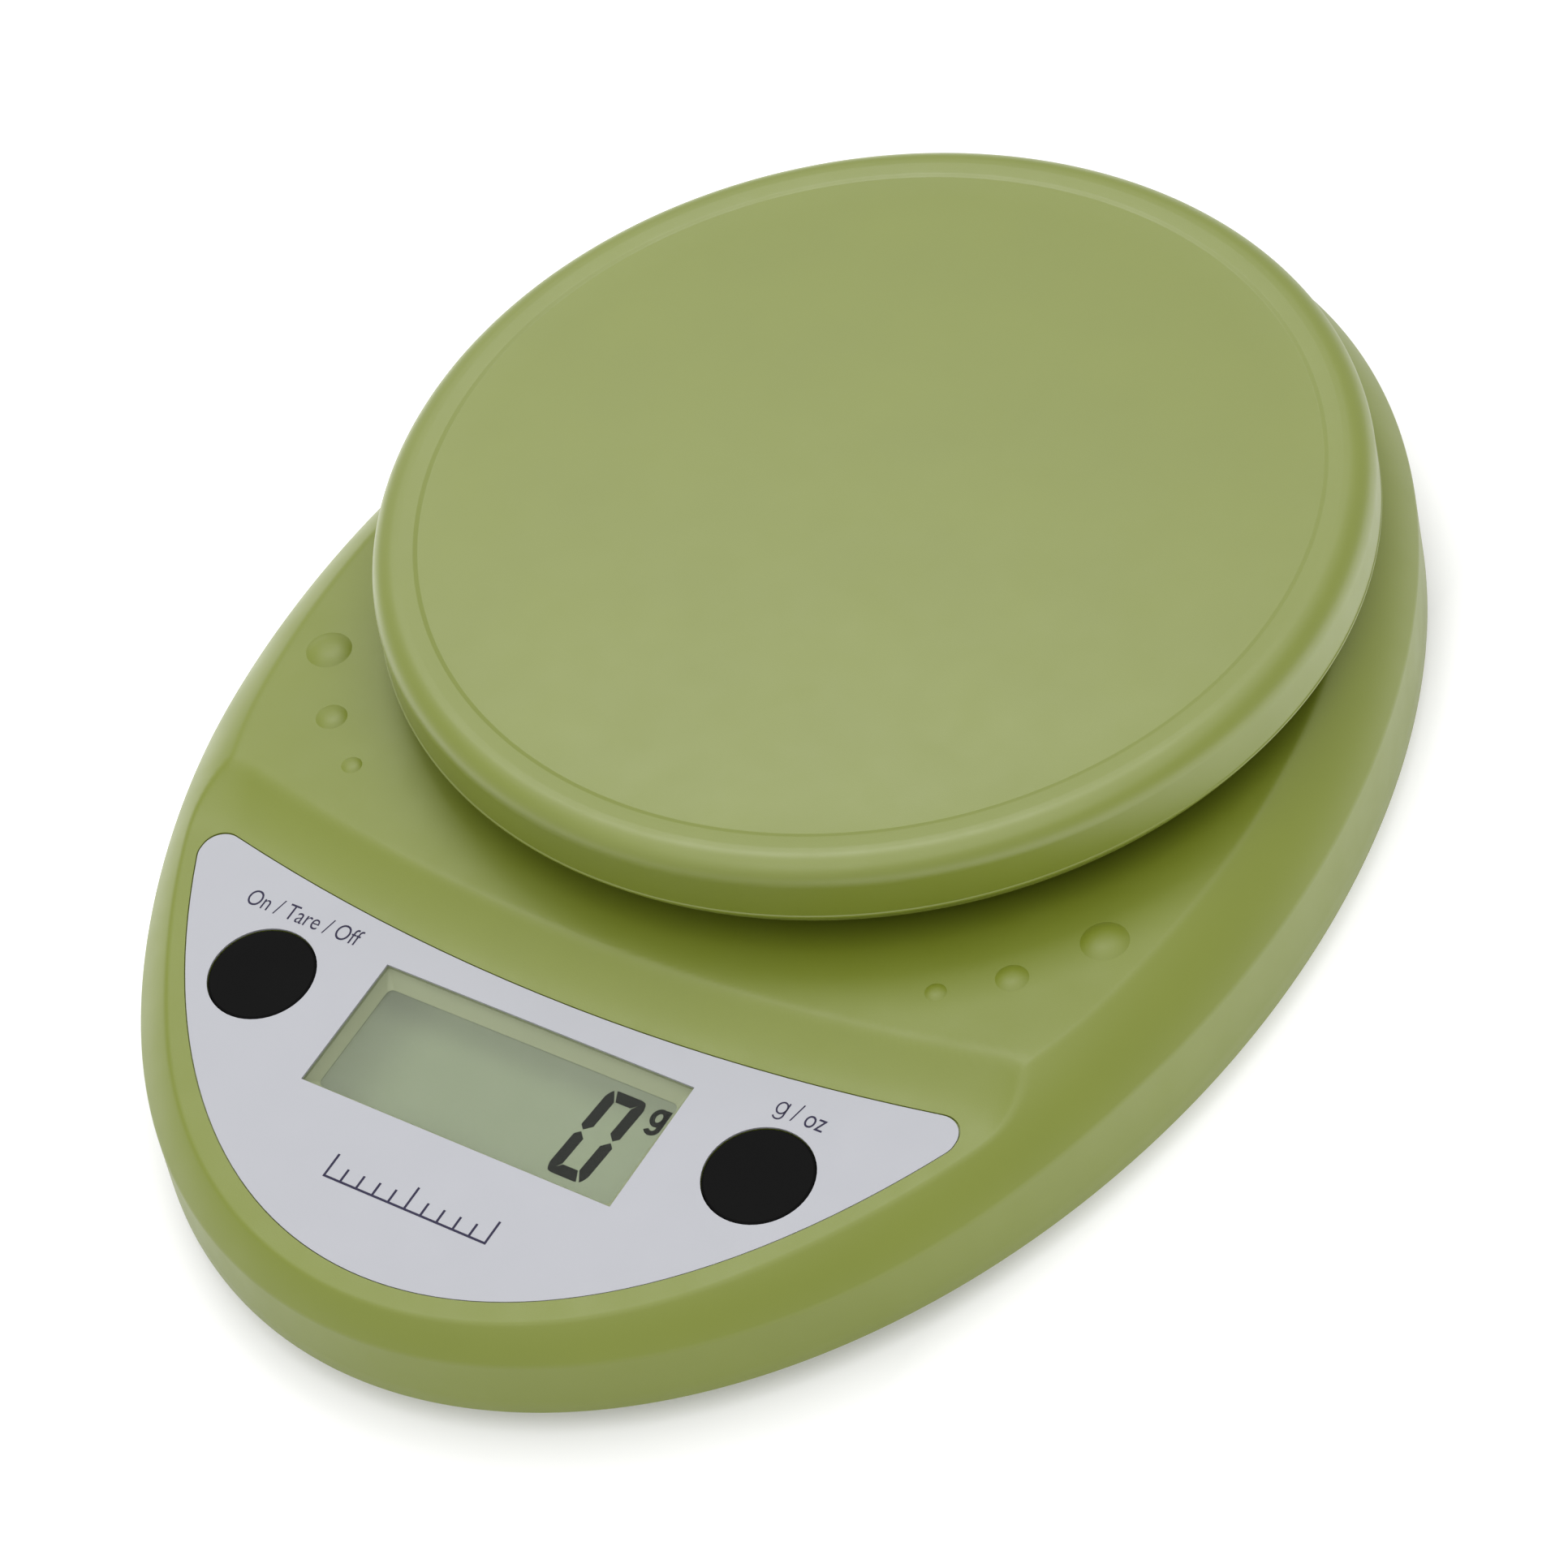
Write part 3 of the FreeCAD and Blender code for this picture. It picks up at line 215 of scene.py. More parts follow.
# after the colour come the roughness, the grain's size and depth in mm, and the colour's drift
GREEN = (0.150, 0.184, 0.009)
PLATTER_PLASTIC = moulded("platter_plastic", GREEN, 0.40, sheen=0.05, gloss=0.9)
CASE_PLASTIC = moulded("case_plastic", GREEN, 0.45, sheen=0.05, gloss=0.68)
BEZEL = moulded("bezel_grey", (0.26, 0.29, 0.175), 0.5, 0.15, 0.004, 0.02, gloss=0.3)
LABEL = moulded("label_sheet", (0.37, 0.375, 0.405), 0.5, 0.25, 0.004, 0.006)
BLACK = moulded("button_black", (0.0062, 0.0062, 0.0062), 0.75, 0.12, 0.01, 0.05, gloss=0.03)
PANE = clear("clear_pane", (0.5, 0.5, 0.5), 0.12, 0.012)
DISPLAY = display("display_glass", (0.174, 0.214, 0.120), 0.45)
INK = moulded("ink", (0.030, 0.027, 0.055), 0.6, 0.2, 0.004, 0.05, gloss=0.1)
SEGMENT = moulded("segment", (0.0125, 0.0145, 0.011), 0.45, 0.3, 0.002, 0.03, gloss=0.03)
RUBBER = moulded("foot_rubber", (0.035, 0.035, 0.035), 0.8, 0.3, 0.03, 0.08)
WHITE = moulded("white_plastic", (0.75, 0.75, 0.72), 0.45, 0.2, 0.008, 0.02)
ZEBRA = moulded("zebra_rubber", (0.05, 0.05, 0.055), 0.7, 0.15, 0.01, 0.2)
BOARD = moulded("board_green", (0.015, 0.12, 0.045), 0.35, 0.4, 0.006, 0.12)
CHIP = moulded("chip_black", (0.012, 0.012, 0.013), 0.55, 0.15, 0.01, 0.1)
SLEEVE = moulded("capacitor_sleeve", (0.02, 0.03, 0.09), 0.35, 0.5, 0.004, 0.05)
SEALANT = moulded("gauge_sealant", (0.62, 0.60, 0.52), 0.4, 1.5, 0.15, 0.06)
WRAP = moulded("cell_wrap", (0.02, 0.022, 0.03), 0.3, 2.0, 0.01, 0.1)
WIRE_RED = moulded("wire_red", (0.42, 0.015, 0.012), 0.42, 0.3, 0.01, 0.05)
WIRE_BLACK = moulded("wire_black", (0.015, 0.015, 0.015), 0.42, 0.3, 0.01, 0.05)
WIRE_GREY = moulded("wire_grey", (0.25, 0.25, 0.25), 0.45, 0.3, 0.01, 0.05)
STEEL = metal("screw_steel", (0.62, 0.62, 0.63), 0.32, 0.4)
PLATE = metal("plate_steel", (0.55, 0.56, 0.57), 0.38, 0.3, (1, 0.1, 1))
ALUMINIUM = metal("beam_aluminium", (0.78, 0.79, 0.80), 0.34, 0.25, (1, 0.05, 1))
TIN = metal("tin_can", (0.66, 0.66, 0.67), 0.28, 0.5)
SPRING = metal("spring_steel", (0.68, 0.66, 0.62), 0.25, 0.3)

NODE_FINISH = {
    CASE_PLASTIC: ["top_case", "bottom_case", "battery_door"],
    PLATTER_PLASTIC: ["platter_cap", "platter_base"],
    LABEL: ["label_overlay"],
    PANE: ["lcd_window"],
    DISPLAY: ["lcd_glass"],
    BLACK: ["power_button", "units_button"],
    WHITE: ["lcd_holder", "cable_socket", "power_plunger", "units_plunger"],
    ZEBRA: ["zebra_strip"],
    BOARD: ["main_board"],
    CHIP: ["controller_chip", "power_switch", "units_switch"],
    SLEEVE: ["filter_capacitor"],
    TIN: ["crystal"],
    RUBBER: ["foot_front_left", "foot_front_right", "foot_rear_left", "foot_rear_right"],
    STEEL: [
        "board_screws", "case_screws", "load_cell_base_screws", "load_cell_top_screws", "overload_stop",
    ],
    ALUMINIUM: ["load_cell", "load_cell_spacer"],
    PLATE: ["load_arm_plate"],
    SEALANT: ["strain_gauges"],
    WRAP: ["battery_front", "battery_rear"],
    SPRING: ["battery_springs", "bridge_contact", "positive_terminal", "negative_terminal"],
    WIRE_RED: ["positive_lead"],
    WIRE_BLACK: ["negative_lead"],
    WIRE_GREY: ["load_cell_cable"],
}


def finish_nodes():
    for material, names in NODE_FINISH.items():
        for name in names:
            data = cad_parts[name].data
            data.materials.clear()
            data.materials.append(material)


# ---- mesh helpers; every shape below is worked out in millimetres ----

SHARP_ANGLE = math.radians(30)
WELD_DISTANCE = 1e-7


def add_piece(name, verts, faces, body, material, replaces=()):
    mesh = bpy.data.meshes.new(name)
    mesh.from_pydata([Vector(v) * MM for v in verts], [], faces)
    mesh.validate()
    return add_mesh(name, mesh, body, material, replaces)


def add_mesh(name, mesh, body, material, replaces=()):
    mesh.materials.clear()
    mesh.materials.append(material)
    piece = bpy.data.objects.new(name, mesh)
    bpy.context.scene.collection.objects.link(piece)
    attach(piece, body)
    if replaces:
        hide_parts(*replaces)
    return piece


def ring_faces(rings, count, closed=False):
    """Quads between neighbouring rings of count points each, wound so that they face outwards."""
    faces = []
    pairs = list(zip(range(rings), range(1, rings)))
    if closed:
        pairs.append((rings - 1, 0))
    for lower, upper in pairs:
        for j in range(count):
            k = (j + 1) % count
            faces.append((lower * count + j, lower * count + k, upper * count + k, upper * count + j))
    return faces


def weld(piece):
    """Joins points that coincide and turns every face outwards."""
    form = bmesh.new()
    form.from_mesh(piece.data)
    bmesh.ops.remove_doubles(form, verts=form.verts, dist=WELD_DISTANCE)
    bmesh.ops.recalc_face_normals(form, faces=form.faces)
    form.to_mesh(piece.data)
    form.free()


def shade(piece):
    """Smooth shading with a sharp crease wherever two faces meet at more than the sharp angle."""
    mesh = piece.data
    form = bmesh.new()
    form.from_mesh(mesh)
    for face in form.faces:
        face.smooth = True
    for edge in form.edges:
        if len(edge.link_faces) == 2:
            edge.smooth = edge.calc_face_angle(0.0) < SHARP_ANGLE
    form.to_mesh(mesh)
    form.free()


def add_smooth(name, verts, faces, body, material, replaces=()):
    piece = add_piece(name, verts, faces, body, material, replaces)
    weld(piece)
    shade(piece)


def carve(piece, tool):
    """Cuts the tool's solid out of the piece and throws the tool away."""
    modifier = piece.modifiers.new("carve", "BOOLEAN")
    modifier.operation = "DIFFERENCE"
    modifier.solver = "EXACT"
    modifier.object = tool
    graph = bpy.context.evaluated_depsgraph_get()
    carved = bpy.data.meshes.new_from_object(piece.evaluated_get(graph))
    piece.modifiers.clear()
    piece.data = carved
    bpy.data.objects.remove(tool)


def blend(low, high, factor):
    return low + (high - low) * factor


def smooth_step(low, high, value):
    t = min(max((value - low) / (high - low), 0.0), 1.0)
    return t * t * (3 - 2 * t)


def smooth_min(a, b, reach):
    """The smaller of two heights, with the crease between them rounded off."""
    overlap = max(reach - abs(a - b), 0.0) / reach
    return min(a, b) - overlap * overlap * reach / 4


# ---- the panel's own frame ----

PANEL_PIVOT = -67.0
PANEL_HEIGHT = 19.39
PANEL_TILT = math.radians(2.92)
PANEL_FRAME = Matrix.Translation((0, PANEL_PIVOT, PANEL_HEIGHT)) @ Matrix.Rotation(PANEL_TILT, 4, "X")
PANEL_PROUD = 0.05


def panel_height(y):
    return PANEL_HEIGHT + PANEL_PROUD + (y - PANEL_PIVOT) * math.tan(PANEL_TILT)


def arc_points(centre, radius, start, end, steps):
    angles = [start + (end - start) * i / steps for i in range(steps + 1)]
    return [(centre[0] + radius * math.cos(a), centre[1] + radius * math.sin(a)) for a in angles]


def panel_outline(grow):
    """The label's outline: an oval front edge, a long shallow arc behind, and rounded ends."""
    corner = 3.0
    half_width = 58.9 + grow
    oval_centre, oval_width, oval_length = 106.5, 78.6 + grow, 140.0 + grow
    arc_centre, arc_radius = 310.0, 297.3 - grow

    rear_x = half_width - corner
    rear_y = arc_centre - math.sqrt((arc_radius + corner) ** 2 - rear_x ** 2)
    lean = math.atan2(arc_centre - rear_y, -rear_x)
    rear = arc_points((rear_x, rear_y), corner, 0, lean, 14)

    def inner_point(t):
        x, y = oval_width * math.sin(t), oval_centre - oval_length * math.cos(t)
        normal = Vector((x / oval_width ** 2, (y - oval_centre) / oval_length ** 2)).normalized()
        return x - corner * normal.x, y - corner * normal.y, math.atan2(normal.y, normal.x)

    low, high = 0.0, math.pi / 2
    for _ in range(50):
        middle = (low + high) / 2
        if inner_point(middle)[0] < rear_x:
            low = middle
        else:
            high = middle
    end = low
    centre_x, centre_y, heading = inner_point(end)
    front_corner = arc_points((centre_x, centre_y), corner, heading, 0, 10)
    steps = 90
    front = [
        (oval_width * math.sin(end * i / steps), oval_centre - oval_length * math.cos(end * i / steps))
        for i in range(steps)
    ]
    reach = math.asin(rear[-1][0] / arc_radius)
    back = []
    for i in range(1, steps + 1):
        angle = reach * (1 - i / steps)
        back.append((arc_radius * math.sin(angle), arc_centre - arc_radius * math.cos(angle)))
    right = front + front_corner + rear + back
    left = [(-x, y) for x, y in reversed(right[1:-1])]
    return right + left


def rounded_box(half_width, half_length, centre, corner):
    steps = 8
    points = []
    for quarter, (sx, sy) in enumerate(((1, 1), (-1, 1), (-1, -1), (1, -1))):
        middle = (centre[0] + sx * (half_width - corner), centre[1] + sy * (half_length - corner))
        start = quarter * math.pi / 2
        points += arc_points(middle, corner, start, start + math.pi / 2, steps)
    return points


def on_panel(outlines):
    """Vertices of outlines [(points, height), ...] that are given in the panel's own frame."""
    return [tuple(PANEL_FRAME @ Vector((x, y, z))) for points, z in outlines for x, y in points]


def lofted(outlines):
    """Vertices and faces of a closed solid through equally long outlines on the panel."""
    count = len(outlines[0][0])
    faces = ring_faces(len(outlines), count)
    faces.append(tuple(reversed(range(count))))
    last = (len(outlines) - 1) * count
    faces.append(tuple(last + j for j in range(count)))
    return on_panel(outlines), faces


def cutter(outline, low, high):
    """A prism standing on the panel, to cut with."""
    verts, faces = lofted([(outline, low), (outline, high)])
    mesh = bpy.data.meshes.new("cutter")
    mesh.from_pydata([Vector(v) * MM for v in verts], [], faces)
    piece = bpy.data.objects.new("cutter", mesh)
    bpy.context.scene.collection.objects.link(piece)
    return piece


# ---- upper shell ----

BODY_HALF_WIDTH = 76.8
BODY_HALF_LENGTH = 107.0
SKIRT_BASE = 4.0
SKIRT_EDGE = 0.4
DISH_HEIGHT = 22.75
DISH_RISE = 0.75
CREST_CENTRE = 243.0
CREST_RADIUS = 289.0
CREST_RUN = 8.3
CREST_CURL = 0.055
CREST_CURL_DEPTH = 12.5
CREST_REAR_SLOPE = 0.6
CREASE = 0.22
SHELL_WALL = 2.2
DRAFT = 0.25
SHOULDER_EDGE = 8.3
SHOULDER_TOP = 23.45
SHOULDER_START = math.radians(26)
SHOULDER_END = math.radians(60)
SHOULDER_ROUND = 1.6
SHOULDER_DROP = 2.4
SHOULDER_DROP_RUN = (28.0, 80.0)
HUB_CENTRE = Vector((0.0, 3.8))
HUB_HOLE = 14.2
COLLAR_RADIUS = 15.8
COLLAR_TOP = 24.7
SHELL_COUNT = 500
WALL_RINGS = 4
SHOULDER_RINGS = 60
SHOULDER_CROWDING = 2.2
RIM_DEPTH = 15.0
DECK_RINGS = 96

# the shoulder's section: a long round falling from the deck's edge, then a small one into the wall
ROUND_DEPTH = DRAFT + SHOULDER_ROUND * (1 - math.sin(SHOULDER_END))
SHOULDER_RADIUS = (SHOULDER_EDGE - ROUND_DEPTH) / (math.sin(SHOULDER_END) - math.sin(SHOULDER_START))
ROUND_HEIGHT = SHOULDER_TOP - SHOULDER_RADIUS * (math.cos(SHOULDER_START) - math.cos(SHOULDER_END))
WALL_TOP = ROUND_HEIGHT - SHOULDER_ROUND * math.cos(SHOULDER_END)


def shoulder_drop(y):
    """How far the shoulder sinks towards the front, along with the panel."""
    return SHOULDER_DROP * smooth_step(*SHOULDER_DROP_RUN, -y)


def shoulder_height(y, depth):
    """The shoulder's own height at a depth inside the outline, carried on as a plane past its edge."""
    if depth >= SHOULDER_EDGE:
        height = SHOULDER_TOP + (depth - SHOULDER_EDGE) * math.tan(SHOULDER_START)
    elif depth >= ROUND_DEPTH:
        lean = math.sin(SHOULDER_START) + (SHOULDER_EDGE - depth) / SHOULDER_RADIUS
        fall = math.cos(SHOULDER_START) - math.sqrt(1 - lean * lean)
        height = SHOULDER_TOP - SHOULDER_RADIUS * fall
    else:
        across = min(DRAFT + SHOULDER_ROUND - depth, SHOULDER_ROUND)
        height = WALL_TOP + math.sqrt(SHOULDER_ROUND ** 2 - across ** 2)
    return height - shoulder_drop(y)


def deck_height(x, y, depth):
    """The dished deck, its crest, and the slope down to the flat of the panel."""
    curl = CREST_CURL * max(CREST_CURL_DEPTH - depth, 0.0) ** 2
    past_crest = math.hypot(x, y - CREST_CENTRE) - CREST_RADIUS - curl
    reach = (x / BODY_HALF_WIDTH) ** 2 + (y / BODY_HALF_LENGTH) ** 2
    dish = DISH_HEIGHT + DISH_RISE * reach
    flat = panel_height(y)
    if past_crest < 0:
        slope = dish - CREST_REAR_SLOPE * past_crest
    else:
        left = max(1 - past_crest / CREST_RUN, 0.0)
        slope = flat + (dish - flat) * left * left
    return smooth_min(dish, slope, CREASE)


def shell_height(x, y, depth):
    return smooth_min(deck_height(x, y, depth), shoulder_height(y, depth), CREASE)


def oval_point(j, depth):
    """The j-th point of the body's outline, moved inwards by depth."""
    angle = 2 * math.pi * j / SHELL_COUNT
    x, y = BODY_HALF_WIDTH * math.sin(angle), -BODY_HALF_LENGTH * math.cos(angle)
    normal = Vector((x / BODY_HALF_WIDTH ** 2, y / BODY_HALF_LENGTH ** 2)).normalized()
    return Vector((x, y)) - normal * depth


def oval_depth(x, y):
    """About how far a point lies inside the body's outline."""
    scale = math.hypot(x / BODY_HALF_WIDTH, y / BODY_HALF_LENGTH)
    steepness = math.hypot(x / BODY_HALF_WIDTH ** 2, y / BODY_HALF_LENGTH ** 2)
    return scale * (1 - scale) / max(steepness, 1e-6) if scale > 0 else BODY_HALF_WIDTH


def upper_shell():
    """Rings of the moulded top: up the wall, over the shoulder and deck to the hub, and back inside."""
    rings = []
    columns = range(SHELL_COUNT)
    bevel = 0.2
    inner_rings = 10

    def wall_ring(depth, height):
        rings.append([(*oval_point(j, depth), height) for j in columns])

    def inside_height(point, depth):
        return shell_height(point.x, point.y, max(depth - SHELL_WALL, 0.0)) - SHELL_WALL

    # outer skin, from the skirt's lower edge up and in to the hub hole
    wall_ring(SKIRT_EDGE, SKIRT_BASE)
    wall_ring(SKIRT_EDGE * 0.3, SKIRT_BASE + SKIRT_EDGE * 0.3)
    foot = SKIRT_BASE + SKIRT_EDGE
    for i in range(WALL_RINGS):
        share = i / WALL_RINGS
        ring = []
        for j in columns:
            point = oval_point(j, DRAFT * share)
            ring.append((*point, blend(foot, WALL_TOP - shoulder_drop(point.y), share)))
        rings.append(ring)
    for i in range(SHOULDER_RINGS):
        depth = blend(DRAFT, RIM_DEPTH, (i / SHOULDER_RINGS) ** SHOULDER_CROWDING)
        ring = []
        for j in columns:
            point = oval_point(j, depth)
            ring.append((*point, shell_height(point.x, point.y, depth)))
        rings.append(ring)
    spokes = []
    for j in columns:
        edge = oval_point(j, RIM_DEPTH)
        spokes.append((edge, (edge - HUB_CENTRE).normalized()))
    for i in range(DECK_RINGS + 1):
        ring = []
        for edge, heading in spokes:
            point = edge.lerp(HUB_CENTRE + heading * COLLAR_RADIUS, i / DECK_RINGS)
            ring.append((*point, deck_height(*point, RIM_DEPTH)))
        rings.append(ring)

    # collar round the hub hole
    collar = (
        (COLLAR_RADIUS, COLLAR_TOP - bevel),
        (COLLAR_RADIUS - bevel, COLLAR_TOP),
        (HUB_HOLE + bevel, COLLAR_TOP),
        (HUB_HOLE, COLLAR_TOP - bevel),
        (HUB_HOLE, DISH_HEIGHT - SHELL_WALL),
    )
    for radius, height in collar:
        rings.append([(*(HUB_CENTRE + heading * radius), height) for _, heading in spokes])

    # inner skin, back out and down
    for i in range(inner_rings):
        ring = []
        for edge, heading in spokes:
            point = (HUB_CENTRE + heading * COLLAR_RADIUS).lerp(edge, i / inner_rings)
            ring.append((*point, inside_height(point, RIM_DEPTH)))
        rings.append(ring)
    for i in range(inner_rings + 1):
        angle = math.pi / 2 * (1 - i / inner_rings)
        ring = []
        for j in columns:
            depth = blend(SHELL_WALL + DRAFT, RIM_DEPTH, 1 - math.cos(angle))
            point = oval_point(j, depth)
            ring.append((*point, inside_height(point, depth)))
        rings.append(ring)
    wall_ring(SHELL_WALL, SKIRT_BASE + bevel)
    wall_ring(SHELL_WALL - bevel, SKIRT_BASE)

    verts = [v for ring in rings for v in ring]
    faces = ring_faces(len(rings), SHELL_COUNT, closed=True)
    return verts, faces


# the display well; heights are from the label's plane
WINDOW_HALF = (24.05, 10.0)
WINDOW_CENTRE = (0.0, -1.45)
WINDOW_CORNER = 0.15
WELL_FLOOR_HALF = (22.7, 8.4)
WELL_FLOOR_CENTRE = (-0.2, -1.85)
WELL_FLOOR_CORNER = 0.9
BEZEL_WIDTH = 1.2
BEZEL_TOP = -0.31
PANE_TOP = -0.35
PANE_BASE = -0.8
PANE_LIFT = 0.01
WELL_BASE = -2.2
BUTTON_PLACE = (38.8, 0.4)
BUTTON_HOLE = 7.4
BUTTON_HOLE_COUNT = 96
LABEL_GAP = 0.15
BEZEL_GAP = 0.02

# heights that the cuts in the shell run between, from the label's plane
SEAT_BASE = -0.3
ABOVE_CREST = 3.0
THROUGH_SHELL = -6.0
ABOVE_SEAT = 1.0


def bezel_outline(grow):
    corner = WINDOW_CORNER + grow / 2
    return rounded_box(WINDOW_HALF[0] + grow, WINDOW_HALF[1] + grow, WINDOW_CENTRE, corner)


def make_upper_shell():
    verts, faces = upper_shell()
    piece = add_piece("upper_shell", verts, faces, "case", CASE_PLASTIC, ("top_case",))
    outline = panel_outline(LABEL_GAP)
    carve(piece, cutter(outline, SEAT_BASE, ABOVE_CREST))
    recess = bezel_outline(BEZEL_WIDTH + BEZEL_GAP)
    carve(piece, cutter(recess, THROUGH_SHELL, ABOVE_SEAT))
    for side in (-1, 1):
        centre = (side * BUTTON_PLACE[0], BUTTON_PLACE[1])
        hole = arc_points(centre, BUTTON_HOLE, 0, 2 * math.pi, BUTTON_HOLE_COUNT)[:-1]
        carve(piece, cutter(hole, THROUGH_SHELL, ABOVE_SEAT))
    shade(piece)


def make_bezel():
    """The moulded frame that lines the display well, and the clear pane set into it."""
    outer = bezel_outline(BEZEL_WIDTH)
    opening = bezel_outline(0.0)
    floor = rounded_box(*WELL_FLOOR_HALF, WELL_FLOOR_CENTRE, WELL_FLOOR_CORNER)
    loops = [
        (outer, WELL_BASE),
        (outer, BEZEL_TOP),
        (opening, BEZEL_TOP),
        (opening, PANE_BASE),
        (floor, WELL_BASE),
    ]
    faces = ring_faces(len(loops), len(outer), closed=True)
    add_smooth("display_bezel", on_panel(loops), faces, "case", BEZEL)
    inset = bezel_outline(-BEZEL_GAP)
    verts, faces = lofted([(inset, PANE_BASE + PANE_LIFT), (inset, PANE_TOP)])
    add_smooth("display_pane", verts, faces, "case", PANE, ("lcd_window",))


# place and width of each drop; BUMP_LIFT is its height as a share of its width
BUMPS = {
    "left": ((-61.5, -17.8, 6.4), (-54.0, -27.8, 4.4), (-46.4, -33.8, 2.9)),
    "right": ((61.1, -18.2, 6.4), (53.4, -28.3, 4.4), (45.7, -34.3, 2.9)),
}
BUMP_COUNT = 64
BUMP_RINGS = 12
BUMP_LIFT = 0.11
BUMP_ROUND = 2.6
BUMP_SUNK = 0.01


def make_bumps():
    """Low drops moulded on the deck, three at each side."""
    for side, places in BUMPS.items():
        verts, faces = [], []
        for x, y, width in places:
            first = len(verts)
            for i in range(BUMP_RINGS + 1):
                reach = 1 - i / BUMP_RINGS
                lift = BUMP_LIFT * width * (1 - reach ** BUMP_ROUND) - BUMP_SUNK
                for j in range(BUMP_COUNT):
                    angle = 2 * math.pi * j / BUMP_COUNT
                    px = x + reach * width / 2 * math.cos(angle)
                    py = y + reach * width / 2 * math.sin(angle)
                    verts.append((px, py, shell_height(px, py, oval_depth(px, py)) + lift))
            faces += [tuple(first + v for v in face) for face in ring_faces(BUMP_RINGS + 1, BUMP_COUNT)]
            faces.append(tuple(first + j for j in reversed(range(BUMP_COUNT))))
        add_smooth(f"drops_{side}", verts, faces, "case", CASE_PLASTIC)


# ---- platter ----

PLATTER_CENTRE = 26.8
PLATTER_COUNT = 384
DISC_HEIGHT = 37.6

# the cover's section as (radius, height, rounding) corners: flat top, rolled rim, lip, inside
PLATTER_PROFILE = (
    (0, DISC_HEIGHT, 0),
    (20, DISC_HEIGHT, 0),
    (40, DISC_HEIGHT, 0),
    (56, DISC_HEIGHT, 0),
    (60.8, DISC_HEIGHT, 0.5),
    (61.4, 37.80, 0.7),
    (63.4, 37.93, 4.0),
    (67.44, 37.95, 3.4),
    (67.62, 29.7, 0),
    (67.74, 29.58, 0),
    (67.74, 29.34, 0),
    (67.6, 29.2, 0),
    (65.6, 29.2, 0),
    (65.2, 35.6, 1.0),
    (0, 35.6, 0),
)


def fillet_run(before, corner, after, radius, steps):
    """Points of an arc that rounds a corner of a profile."""
    inward = (Vector(before) - Vector(corner)).normalized()
    outward = (Vector(after) - Vector(corner)).normalized()
    half = inward.angle(outward) / 2
    trim = radius / math.tan(half)
    middle = (inward + outward).normalized()
    centre = Vector(corner) + middle * (radius / math.sin(half))
    start = Vector(corner) + inward * trim - centre
    end = Vector(corner) + outward * trim - centre
    return [tuple(centre + start.slerp(end, i / steps) * radius) for i in range(steps + 1)]


def rounded_profile(corners):
    """A profile from (radius, height, rounding) corners."""
    points = []
    for i, (r, z, rounding) in enumerate(corners):
        if rounding == 0:
            points.append((r, z))
            continue
        before, after = corners[i - 1], corners[(i + 1) % len(corners)]
        points += fillet_run(before[:2], (r, z), after[:2], rounding, max(int(rounding * 5), 4))
    return points


def spun(profile, centre_y, count):
    """A profile that starts and ends on the upright axis at centre_y, turned about it."""
    verts = []
    for r, z in profile:
        for j in range(count):
            angle = 2 * math.pi * j / count
            verts.append((r * math.cos(angle), centre_y + r * math.sin(angle), z))
    return verts, ring_faces(len(profile), count)


def make_platter():
    verts, faces = spun(rounded_profile(PLATTER_PROFILE), PLATTER_CENTRE, PLATTER_COUNT)
    add_smooth("platter_cover", verts, faces, "platter", PLATTER_PLASTIC, ("platter_cap",))


# ---- panel marks and display ----

DISPLAY_TOP = -2.25
MARK_RISE = 0.03
PRINT_WEIGHT = -0.006
TICK_COUNT = 11
TICK_PITCH = 2.5
TICK_WIDTH = 0.32
TICK_BASE = -22.6
LONG_TICK = 3.4
SHORT_TICK = 1.9


def add_flat(name, outlines, low, high, material):
    """One piece made of several thin prisms lying on the panel."""
    verts, faces = [], []
    for outline in outlines:
        new_verts, new_faces = lofted([(outline, low), (outline, high)])
        start = len(verts)
        verts += new_verts
        faces += [tuple(start + v for v in face) for face in new_faces]
    add_smooth(name, verts, faces, "case", material)


def digit_segments(centre, width, height, bar, lean, gap):
    """The six lit bars of a slanted seven-segment nought."""
    half_w, half_h = width / 2, height / 2
    cut = gap / 2
    soft = bar * 0.62
    upper_left = [
        (-half_w, cut + bar * 0.38),
        (-half_w + bar * 0.42, cut),
        (-half_w + bar, cut + bar * 0.55),
        (-half_w + bar, half_h - bar - cut * 0.4),
        (-half_w + soft * 0.72 - cut, half_h - soft * 0.16),
        (-half_w + soft * 0.28, half_h - soft * 0.5),
        (-half_w, half_h - soft * 1.3),
    ]
    top = [
        (-half_w + bar + cut, half_h - bar),
        (half_w - bar - cut, half_h - bar),
        (half_w - soft * 0.45, half_h - soft * 0.2),
        (half_w - soft * 1.1, half_h),
        (-half_w + soft * 1.2, half_h),
        (-half_w + soft * 0.8 + cut, half_h - soft * 0.05),
    ]
    upper_right = [(-x, y) for x, y in reversed(upper_left)]

    def turned_over(points):
        return [(-x, -y) for x, y in points]

    bars = [upper_left, top, upper_right, turned_over(upper_left), turned_over(top), turned_over(upper_right)]
    return [[(centre[0] + x + y * lean, centre[1] + y) for x, y in points] for points in bars]


